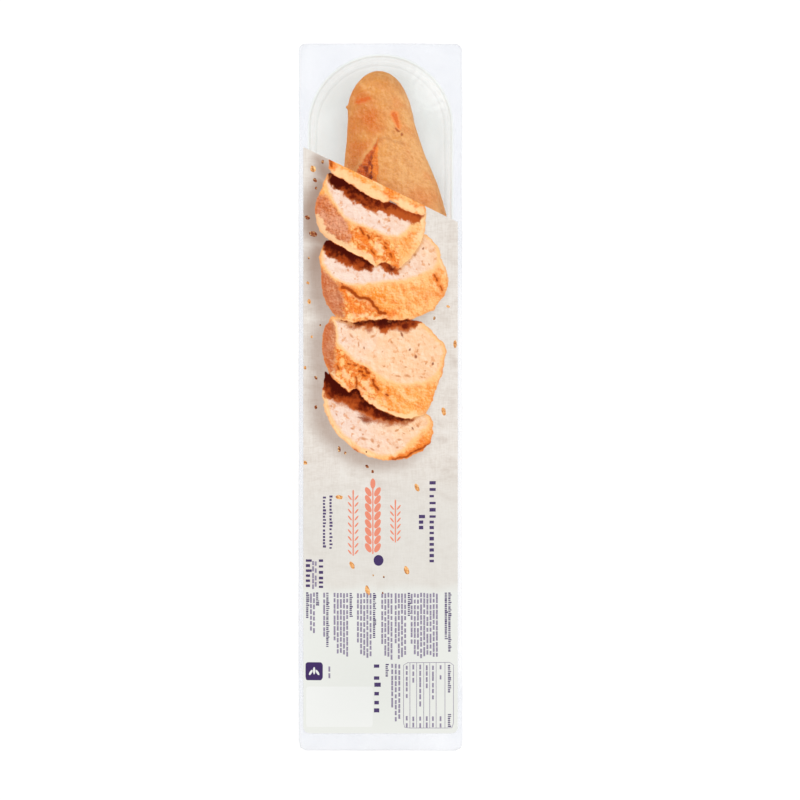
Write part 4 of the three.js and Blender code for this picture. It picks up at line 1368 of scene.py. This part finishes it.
def laid_print(name, sheet, build, values, points, edges, attributes):
    """Runs one Geometry Nodes tree over points on the label and returns the plain mesh that it makes."""
    group = bpy.data.node_groups.new(name, "GeometryNodeTree")
    tree = Tree(group)
    identifiers = {"Geometry": input_socket(group, "Geometry", "NodeSocketGeometry")}
    kinds = {float: "NodeSocketFloat", int: "NodeSocketInt"}
    for label, value in values.items():
        kind = kinds.get(type(value), "NodeSocketMaterial")
        identifiers[label] = input_socket(group, label, kind)
    identifiers["Sheet"] = input_socket(group, "Sheet", "NodeSocketObject")
    group.interface.new_socket("Geometry", in_out="OUTPUT", socket_type="NodeSocketGeometry")
    entry = group.nodes.new("NodeGroupInput")
    given = {label: Signal(tree, entry.outputs[label]) for label in identifiers}

    built = tree.node("GeometryNodeRealizeInstances", None, {0: build(tree, given)})
    target = tree.node("GeometryNodeObjectInfo", None, {"Object": given["Sheet"]}, output="Geometry")
    place = tree.node("GeometryNodeInputPosition")
    above = tree.node("ShaderNodeVectorMath", {"operation": "ADD"}, {0: place, 1: (0, 0, 0.2)})
    ray = {"Target Geometry": target, "Source Position": above, "Ray Direction": (0, 0, -1), "Ray Length": 0.4}
    is_hit = tree.node("GeometryNodeRaycast", None, ray, output="Is Hit")
    hit = Signal(tree, is_hit.socket.node.outputs["Hit Position"])
    missed = tree.node("FunctionNodeBooleanMath", {"operation": "NOT"}, {0: is_hit})
    on_label = tree.node("GeometryNodeDeleteGeometry", None, {"Geometry": built, "Selection": missed})
    hit_z = tree.node("ShaderNodeSeparateXYZ", None, {0: hit}, output="Z")
    rise = tree.node("ShaderNodeCombineXYZ", None, {"Z": hit_z})
    laid = tree.node("GeometryNodeSetPosition", None, {"Geometry": on_label, "Offset": rise})
    whole = tree.node("GeometryNodeRealizeInstances", None, {0: laid})
    done = tree.node("GeometryNodeSetMaterial", None, {"Geometry": whole, "Material": given["Material"]})
    leave = group.nodes.new("NodeGroupOutput")
    group.links.new(done.socket, leave.inputs[0])

    mesh = bpy.data.meshes.new(name)
    mesh.from_pydata([(x * MM, y * MM, 0.0) for x, y in points], edges, [])
    for key, numbers in attributes.items():
        mesh.attributes.new(key, "FLOAT", "POINT").data.foreach_set("value", np.asarray(numbers, np.float32))
    obj = bpy.data.objects.new(name, mesh)
    bpy.context.scene.collection.objects.link(obj)
    modifier = obj.modifiers.new(name, "NODES")
    modifier.node_group = group
    for label, value in values.items():
        modifier[identifiers[label]] = value
    modifier[identifiers["Sheet"]] = sheet
    graph = bpy.context.evaluated_depsgraph_get()
    result = bpy.data.meshes.new_from_object(obj.evaluated_get(graph))
    obj.modifiers.clear()
    obj.data = result
    result.shade_flat()
    return obj


def named_number(tree, name):
    return tree.node("GeometryNodeInputNamedAttribute", {"data_type": "FLOAT"}, {"Name": name})


def ink_bars(tree, given):
    """Bars of random length at an even pitch along each edge, in place of words or letters."""
    line = tree.node("GeometryNodeMeshToCurve", None, {0: given["Geometry"]})
    spots = tree.node("GeometryNodeCurveToPoints", {"mode": "LENGTH"}, {"Curve": line, "Length": given["Pitch"]})

    def chance(low, high, seed):
        inputs = {2: low, 3: high, "Seed": given["Seed"] + seed}
        return tree.node("FunctionNodeRandomValue", {"data_type": "FLOAT"}, inputs, output=1)

    stroke = named_number(tree, "stroke")
    tall = given["Tall"].maths("GREATER_THAN", given["Tall"], chance(0.0, 1.0, 20.0))
    across = stroke * tall * 0.2
    along = chance(-1.0, 1.0, 10.0) * given["Pitch"] * given["Jitter"]
    aside = tree.node("ShaderNodeCombineXYZ", None, {"X": across, "Y": along})
    spots = tree.node("GeometryNodeSetPosition", None, {"Geometry": spots, "Offset": aside})
    length = chance(given["Shortest"], given["Longest"], 0.0) * given["Pitch"]
    size = {"X": stroke * (tall * 0.4 + 1.0), "Y": length, "Z": given["Height"]}
    scale = tree.node("ShaderNodeCombineXYZ", None, size)
    bar = {"Size": (1, 1, 1), "Vertices X": 2, "Vertices Y": 4, "Vertices Z": 2}
    shape = tree.node("GeometryNodeMeshCube", None, bar)
    return tree.node("GeometryNodeInstanceOnPoints", None, {"Points": spots, "Instance": shape, "Scale": scale})


def ruled_lines(tree, given):
    """A flat ink line along each edge."""
    line = tree.node("GeometryNodeMeshToCurve", None, {0: given["Geometry"]})
    cut = tree.node("GeometryNodeResampleCurve", {"mode": "LENGTH"}, {"Curve": line, "Length": 0.003})
    edge = {"Width": given["Width"], "Height": given["Height"]}
    profile = tree.node("GeometryNodeCurvePrimitiveQuadrilateral", {"mode": "RECTANGLE"}, edge)
    return tree.node(
        "GeometryNodeCurveToMesh", None, {"Curve": cut, "Profile Curve": profile, "Fill Caps": True}
    )


def scattered_grains(tree, given):
    """A flattened grain on each point, long by its length attribute and turned by its turn attribute."""
    shape = tree.node("GeometryNodeMeshIcoSphere", None, {"Radius": 0.5, "Subdivisions": 3})
    width = named_number(tree, "width") * MM
    size = {"X": width, "Y": width * named_number(tree, "stretch"), "Z": given["Height"]}
    scale = tree.node("ShaderNodeCombineXYZ", None, size)
    turn = tree.node("ShaderNodeCombineXYZ", None, {"Z": named_number(tree, "turn")})
    turned = tree.node("FunctionNodeEulerToRotation", None, {0: turn})
    inputs = {"Points": given["Geometry"], "Instance": shape, "Scale": scale, "Rotation": turned}
    grains = tree.node("GeometryNodeInstanceOnPoints", None, inputs)
    loose = tree.node("GeometryNodeRealizeInstances", None, {0: grains})
    wild = tree.node(
        "ShaderNodeTexNoise", None, {"Vector": tree.node("GeometryNodeInputPosition"), "Scale": 700.0}, output=1
    )
    centred = tree.node("ShaderNodeVectorMath", {"operation": "SUBTRACT"}, {0: wild, 1: (0.5, 0.5, 0.5)})
    rough = tree.node("ShaderNodeVectorMath", {"operation": "MULTIPLY"}, {0: centred, 1: given_vector(tree, given)})
    return tree.node("GeometryNodeSetPosition", None, {"Geometry": loose, "Offset": rough})


def given_vector(tree, given):
    return tree.node("ShaderNodeCombineXYZ", None, {"X": given["Roughness"], "Y": given["Roughness"]})


def ink_material(name, ink, worn=0.0):
    material, tree = new_material(name)
    coverage = tree.noise(0.5, 3.0, 0.6)
    ink = tuple(ink)
    lighter = tuple(min(1.0, channel * (1.0 + 0.5 * worn) + 0.12 * worn) for channel in ink)
    colour = tree.mix(coverage.between(0.35, 0.75), ink, lighter)
    shader = principled(
        tree, base_color=colour, roughness=coverage.between(0.3, 0.7, 0.45, 0.6), specular_ior_level=0.08
    )
    surface(tree, shader)
    return material


# Lines of print as x, first y, last y and stroke width, in millimetres. They run towards the foot.
TITLE = ((28.9, -48.4, -63.6, 2.5), (28.9, -67.4, -92.6, 2.5), (22.9, -67.4, -73.6, 2.5))
AMOUNT = ((-2.2, -151.8, -158.6, 3.0), (-2.2, -162.4, -172.6, 2.6), (-2.2, -177.0, -177.2, 3.0))
OVEN = ((-33.6, -92.4, -99.0, 2.4), (-33.6, -102.2, -107.2, 2.4), (-41.0, -92.4, -106.6, 2.4))
STRAPLINES = (
    (-28.2, -56.2, -74.6, 1.25), (-28.2, -77.0, -85.2, 1.25), (-31.9, -56.8, -73.0, 1.25), (-31.9, -75.4, -84.4, 1.25),
)
BLOCK_HEADINGS = (
    (38.9, -143.4), (36.9, -136.5), (16.0, -123.0), (-3.6, -135.5), (-16.8, -123.6), (-30.0, -140.8), (-35.8, -117.4),
    (-41.4, -124.4),
)
HEADINGS = tuple((x, -110.8, end, 1.3) for x, end in BLOCK_HEADINGS) + (
    (3.5, -151.0, -157.4, 1.3), (38.7, -151.8, -166.5, 1.3), (38.7, -179.4, -186.0, 1.3),
)
# Blocks of small print as the x of the first line, how many lines, their pitch, first y and last y.
PARAGRAPHS = (
    (31.8, 9, 1.78, -110.6, -146.6), (13.9, 4, 1.78, -110.6, -146.8), (6.2, 4, 1.74, -110.6, -146.8),
    (-5.6, 5, 1.78, -110.6, -146.2), (-18.8, 5, 1.78, -110.6, -145.4), (-31.8, 1, 1.7, -110.6, -135.0),
    (-37.6, 2, 1.7, -110.6, -132.0), (10.6, 3, 2.0, -150.6, -183.0), (-28.9, 1, 1.5, -152.0, -158.5),
    (-36.6, 2, 1.5, -92.5, -108.0),
)
# The ruled table as left, right, top and foot, its rules, and its columns of words with where each ends.
TABLE = (13.0, 41.2, -149.9, -187.0)
TABLE_RULES = (16.6, 20.4, 24.4, 27.8, 31.4, 36.4)
TABLE_WORDS = ((14.8, -168.5), (18.5, -160.0), (22.4, -173.0), (26.1, -163.0), (29.6, -169.5), (33.9, -158.5))
# Printed crumbs as x, y, width, how long for their width, turn in degrees and which ink.
CRUMBS = (
    (-38.1, 128.8, 3.0, 1.3, 20, 1), (-41.3, 101.4, 2.2, 1.4, 60, 0), (-38.1, 92.1, 3.0, 1.6, 70, 0),
    (-40.3, 53.9, 2.0, 1.5, 10, 1), (-41.0, 64.5, 1.6, 1.2, 40, 1), (42.1, 29.9, 1.9, 2.4, 0, 1),
    (38.2, 51.1, 1.5, 1.5, 70, 1), (35.7, -8.2, 2.4, 2.0, 12, 1), (-36.5, 10.9, 1.6, 1.5, 30, 0),
    (-36.5, -5.8, 1.7, 1.3, 0, 0), (-23.3, -29.4, 1.7, 2.0, 5, 0), (-19.9, -31.6, 1.2, 1.5, 0, 0),
    (-42.6, -37.1, 2.0, 1.3, 50, 1), (-42.6, 16.5, 1.6, 1.4, 20, 1), (-37.0, 122.4, 1.9, 1.4, 40, 0),
    (-32.7, 132.7, 1.6, 1.3, 0, 0), (-36.4, 118.0, 1.4, 1.2, 0, 0), (30.4, 44.5, 1.4, 1.4, 0, 0),
    (20.6, -51.1, 2.4, 2.0, 25, 1), (-23.3, -56.5, 2.2, 1.9, 85, 1), (-16.1, -94.9, 2.4, 1.9, 30, 1),
    (14.7, -97.7, 2.6, 1.9, 20, 1), (-7.3, -109.0, 2.6, 2.2, 12, 1), (-4.2, -100.5, 1.0, 1.2, 0, 0),
    (1.9, -101.4, 1.0, 1.2, 0, 0), (1.2, -110.5, 1.1, 1.2, 0, 0), (-7.6, -39.1, 1.5, 1.6, 40, 0),
    (-4.4, -42.0, 1.5, 1.3, 0, 0), (-8.0, -31.0, 0.9, 1.3, 0, 0), (-40.5, 78.5, 1.3, 1.2, 0, 0),
    (-38.9, 34.0, 1.2, 1.3, 0, 1), (-34.0, 40.5, 1.0, 1.3, 0, 0),
)


# Sprigs by name, as x, first y, last y, pairs of leaves, their lean, width, how long for it, and reach from the stem.
SPRIGS = (
    ("printed_wheat_ear", -4.3, -48.8, -88.5, 8, 30.0, 2.9, 2.0, 2.6),
    ("printed_upper_sprig", 8.4, -59.5, -82.0, 6, 38.0, 0.95, 3.6, 1.9),
    ("printed_lower_sprig", -15.4, -54.0, -89.5, 9, 38.0, 0.95, 3.6, 1.9),
)
BADGE_LEAVES = ((-1.9, -155.6, 2.6, -32.0), (0.0, -154.6, 3.2, 0.0), (1.9, -155.6, 2.6, 32.0))
DROP = ((-1.1, -92.1, 5.6, 1.1, 0, 1),)
BADGE_MARK = tuple((-37.5 + x, y, 1.3, stretch, turn, 1) for x, y, stretch, turn in BADGE_LEAVES)


def line_parts(lines):
    points, edges, strokes = [], [], []
    for x, first, last, stroke in lines:
        edges.append((len(points), len(points) + 1))
        points += [(x, first), (x, last)]
        strokes += [stroke * MM] * 2
    return points, edges, {"stroke": strokes}


def rounded_frame(left, right, low, high, radius):
    points = []
    x = (right - radius, left + radius, left + radius, right - radius)
    y = (high - radius, high - radius, low + radius, low + radius)
    for quarter, (middle_x, middle_y) in enumerate(zip(x, y)):
        for turn in np.linspace(quarter, quarter + 1, 6) * math.pi / 2:
            points.append((middle_x + radius * math.cos(turn), middle_y + radius * math.sin(turn)))
    edges = [(i, (i + 1) % len(points)) for i in range(len(points))]
    return points, edges


def small_lines():
    lines = []
    for right, count, step, first, last in PARAGRAPHS:
        for line in range(count):
            ragged = 9.0 if line == count - 1 and count > 2 else 2.4 * abs(math.sin(line * 2.4 + right))
            lines.append((right - step * line, first - 1.4, last + ragged, 1.05))
    for x, end in TABLE_WORDS:
        lines += [(x, -152.6, end, 1.0), (x, -181.6, -185.4, 1.0)]
    return lines


def make_printed_words(sheet, settings):
    """Rows of bars: one for each word of the small print and one for each letter of the larger print."""
    ink = settings.ink
    small, heading = ink_material("faded ink", settings.faded_ink, 0.5), ink_material("heading ink", ink, 0.6)
    large = ink_material("dark ink", ink, 0.35)
    sets = (
        ("printed_small_words", small_lines(), 3.0, (0.74, 0.98, 0.12, 0.0), small),
        ("printed_headings", HEADINGS, 1.05, (0.5, 0.84, 0.05, 0.3), heading),
        ("printed_title", TITLE, 3.1, (0.42, 0.68, 0.03, 0.3), large),
        ("printed_amount", AMOUNT, 3.4, (0.5, 0.7, 0.0, 0.1), large),
        ("printed_oven_note", OVEN, 2.4, (0.5, 0.7, 0.0, 0.1), large),
        ("printed_straplines", STRAPLINES, 1.75, (0.5, 0.78, 0.04, 0.3), heading),
    )
    for seed, (name, lines, pitch, chances, material) in enumerate(sets):
        shortest, longest, jitter, tall = chances
        values = {"Pitch": pitch * MM, "Shortest": shortest, "Longest": longest, "Jitter": jitter, "Tall": tall}
        values.update({"Height": settings.print_height, "Seed": seed + 5, "Material": material})
        obj = laid_print(name, sheet, ink_bars, values, *line_parts(lines))
        placed(obj, None, "label_print")


def make_rules(name, sheet, width, colour, worn, height, points, edges):
    material = ink_material(name.replace("_", " ") + " ink", colour, worn)
    values = {"Width": width * MM, "Height": height, "Material": material}
    return placed(laid_print(name, sheet, ruled_lines, values, points, edges, {}), None, "label_print")


def make_table(sheet, settings):
    left, right, high, low = TABLE
    points, edges = rounded_frame(left, right, low, high, 1.6)
    for x in TABLE_RULES:
        edges.append((len(points), len(points) + 1))
        points += [(x, high), (x, low)]
    make_rules("printed_table", sheet, 0.3, settings.faded_ink, 0.5, settings.print_height, points, edges)


def baked_ink(name, colour):
    """Ink of the crumbs in the picture, lit on one side and brown on the other."""
    material, tree = new_material(name)
    dark = tuple(0.4 * channel for channel in colour)
    lit = tree.lit(colour, tree.slopes(2.0, 3.0, 0.6), 6.0, seen(255, 214, 150), dark)
    surface(tree, principled(tree, base_color=lit, roughness=0.6, specular_ior_level=0.08))
    return material


def grain_pieces(name, sheet, spots, colour, settings, ragged):
    title = name.replace("_", " ") + " ink"
    material = baked_ink(title, colour) if ragged else ink_material(title, colour, 0.1)
    values = {"Height": settings.print_height * 1.5, "Roughness": ragged * MM, "Material": material}
    attributes = {
        "width": [spot[2] for spot in spots],
        "stretch": [spot[3] for spot in spots],
        "turn": [math.radians(spot[4]) for spot in spots],
    }
    obj = laid_print(name, sheet, scattered_grains, values, [spot[:2] for spot in spots], [], attributes)
    return placed(obj, None, "label_print")


def make_printed_crumbs(sheet, settings):
    pale = [spot for spot in CRUMBS if spot[5] == 1]
    dark = [spot for spot in CRUMBS if spot[5] == 0]
    grain_pieces("printed_pale_crumbs", sheet, pale, seen(232, 160, 96), settings, 0.9)
    grain_pieces("printed_dark_crumbs", sheet, dark, seen(146, 74, 44), settings, 0.7)


def sprig(x, first, last, pairs, lean, width, stretch, reach):
    """Leaves in pairs down a stem, as grains, with the stem's two ends."""
    grains = [(x, first, width, stretch, 0.0, 1)]
    for y in np.linspace(first - 0.8 * width * stretch, last + 0.6 * width * stretch, pairs):
        grains.append((x + reach, y, width, stretch, -lean, 1))
        grains.append((x - reach, y, width, stretch, lean, 1))
    return grains, [(x, first), (x, last)]


def make_ornament(sheet, settings):
    """An ear of wheat between two thin sprigs, a drop and the mark on the badge."""
    ink, stems = tuple(settings.headline), []
    for name, *shape in SPRIGS:
        grains, stem = sprig(*shape)
        grain_pieces(name, sheet, grains, ink, settings, 0.0)
        stems += stem
    edges = [(0, 1), (2, 3), (4, 5)]
    make_rules("printed_stems", sheet, 0.7, ink, 0.1, settings.print_height, stems, edges)
    grain_pieces("printed_drop", sheet, DROP, tuple(settings.ink), settings, 0.0)
    grain_pieces("printed_badge_mark", sheet, BADGE_MARK, tuple(settings.panel), settings, 0.0)


# ---- Operators ----


class BAGUETTE_OT_loaf(bpy.types.Operator):
    """Make the loaf, with its scoring cuts, its tips and its floury crust"""

    bl_idname = "baguette.loaf"
    bl_label = "Loaf"

    def execute(self, context):
        settings = context.scene.baguette_loaf
        placed(make_loaf(settings), crust_material(settings), "crust", "loaf")
        return {"FINISHED"}


class BAGUETTE_OT_tray(bpy.types.Operator):
    """Make the clear tray that is formed round the loaf"""

    bl_idname = "baguette.tray"
    bl_label = "Tray"

    def execute(self, context):
        settings = context.scene.baguette_pack

        def tint(tree):
            # Painted shadow: the film is tinted darker beside the loaf.
            wall = tree.mix(tree.attribute("beside_loaf") * 0.6, tuple(settings.wall_tint), seen(150, 148, 138))
            return tree.mix(flange_share(tree), wall, tuple(settings.seal_tint))

        def haze(tree):
            floor = tree.axis("Z").between(8.0, 0.5).highest(tree.axis("Z").between(38.0, 43.0))
            cavity = floor * settings.floor_haze + (1.0 - floor) * settings.wall_haze
            # The painted shadow beside the loaf also makes the film a little milkier there.
            return film_haze(tree, settings, cavity + tree.attribute("beside_loaf") * 0.07)

        material = film_material("formed film", tint, haze, settings.gloss, 0.12, 0.08)
        placed(make_tray(settings), material, "tray_film", "tray")
        return {"FINISHED"}


class BAGUETTE_OT_lid(bpy.types.Operator):
    """Make the lidding film that is welded over the tray"""

    bl_idname = "baguette.lid"
    bl_label = "Lidding film"

    def execute(self, context):
        settings = context.scene.baguette_pack

        def tint(tree):
            return tuple(settings.seal_tint)

        def haze(tree):
            return film_haze(tree, settings, settings.lid_haze)

        material = film_material("lidding film", tint, haze, settings.gloss, 0.2, 0.0)
        placed(make_lid(), material, "lidding_film", "lid_film")
        return {"FINISHED"}


class BAGUETTE_OT_label(bpy.types.Operator):
    """Make the label and the picture of sliced bread printed on it"""

    bl_idname = "baguette.label"
    bl_label = "Label"

    def execute(self, context):
        settings = context.scene.baguette_label
        placed(make_label(), label_material(settings), "label_print", "front_label")
        return {"FINISHED"}


class BAGUETTE_OT_print(bpy.types.Operator):
    """Lay the rows of print, the ruled table, the ornament and the crumbs on the label"""

    bl_idname = "baguette.print"
    bl_label = "Print"

    def execute(self, context):
        settings = context.scene.baguette_label
        sheet = bpy.data.objects.get("front_label_sheet")
        if sheet is None:
            raise RuntimeError("make the label before its print")
        make_printed_words(sheet, settings)
        make_table(sheet, settings)
        make_printed_crumbs(sheet, settings)
        make_ornament(sheet, settings)
        return {"FINISHED"}


def add_light(name, kind, place, turn, energy, **options):
    data = bpy.data.lights.new(name, kind)
    data.energy = energy
    for key, value in options.items():
        setattr(data, key, value)
    obj = bpy.data.objects.new(name, data)
    obj.location = place
    obj.rotation_euler = [math.radians(angle) for angle in turn]
    bpy.context.scene.collection.objects.link(obj)
    return obj


class BAGUETTE_OT_stage(bpy.types.Operator):
    """Make the floor, the soft lights and the camera that looks straight down on the pack"""

    bl_idname = "baguette.stage"
    bl_label = "Stage"

    def execute(self, context):
        settings = context.scene.baguette_stage
        corners = [(x * FLOOR_REACH, y * FLOOR_REACH, FLOOR_Z) for x, y in ((-1, -1), (1, -1), (1, 1), (-1, 1))]
        floor = mesh_object("floor", corners, [(0, 1, 2, 3)])
        material, tree = new_material("plain floor")
        shader = principled(
            tree,
            base_color=tuple(settings.floor),
            roughness=0.9,
            specular_ior_level=0.0,
            emission_color=(1.0, 1.0, 1.0, 1.0),
            emission_strength=settings.floor_glow,
        )
        surface(tree, shader)
        floor.data.materials.append(material)

        add_light("key", "SUN", (0.6, 0.5, 1.5), (-24, 30, 0), settings.sun_strength, angle=math.radians(24))
        add_light("sheen", "AREA", (-1.2, 0.5, 0.45), (0, -70, 0), 5.0, shape="RECTANGLE", size=0.3, size_y=1.2)

        world = bpy.data.worlds.new("studio")
        context.scene.world = world
        world.use_nodes = True
        sky = Tree(world.node_tree)
        light = sky.node(
            "ShaderNodeBackground", None, {"Color": (1, 1, 1, 1), "Strength": settings.sky_strength}
        )
        sky.node("ShaderNodeOutputWorld", None, {"Surface": light})

        lens = bpy.data.cameras.new("camera")
        lens.lens = settings.lens
        camera = bpy.data.objects.new("camera", lens)
        distance = VIEW_SIDE * settings.lens / lens.sensor_width
        camera.location = (VIEW_X * MM, VIEW_Y * MM, (TRAY_TOP + distance) * MM)
        context.scene.collection.objects.link(camera)
        context.scene.camera = camera
        context.scene.view_settings.view_transform = "Standard"
        context.scene.cycles.transparent_max_bounces = 32
        return {"FINISHED"}


class BAGUETTE_PT_panel(bpy.types.Panel):
    """Sizes and colours of the packaged baguette"""

    bl_label = "Packaged Baguette"
    bl_idname = "BAGUETTE_PT_panel"
    bl_space_type = "VIEW_3D"
    bl_region_type = "UI"
    bl_category = "Baguette"

    def draw(self, context):
        for group in ("baguette_loaf", "baguette_pack", "baguette_label", "baguette_stage"):
            settings = getattr(context.scene, group)
            box = self.layout.box()
            for key in settings.bl_rna.properties.keys():
                if key not in ("rna_type", "name"):
                    box.prop(settings, key)
        for operator in OPERATORS:
            self.layout.operator(operator.bl_idname)


SETTINGS = {
    "baguette_loaf": LoafSettings,
    "baguette_pack": PackSettings,
    "baguette_label": LabelSettings,
    "baguette_stage": StageSettings,
}
OPERATORS = (
    BAGUETTE_OT_stage,
    BAGUETTE_OT_loaf,
    BAGUETTE_OT_tray,
    BAGUETTE_OT_lid,
    BAGUETTE_OT_label,
    BAGUETTE_OT_print,
)


def register():
    for cls in (*SETTINGS.values(), *OPERATORS, BAGUETTE_PT_panel):
        bpy.utils.register_class(cls)
    for key, cls in SETTINGS.items():
        setattr(bpy.types.Scene, key, bpy.props.PointerProperty(type=cls))


def unregister():
    for key in SETTINGS:
        delattr(bpy.types.Scene, key)
    for cls in (BAGUETTE_PT_panel, *reversed(OPERATORS), *reversed(SETTINGS.values())):
        bpy.utils.unregister_class(cls)


def main():
    register()
    bpy.ops.baguette.stage()
    bpy.ops.baguette.loaf()
    bpy.ops.baguette.tray()
    bpy.ops.baguette.lid()
    bpy.ops.baguette.label()
    bpy.ops.baguette.print()


if __name__ == "__main__":
    main()
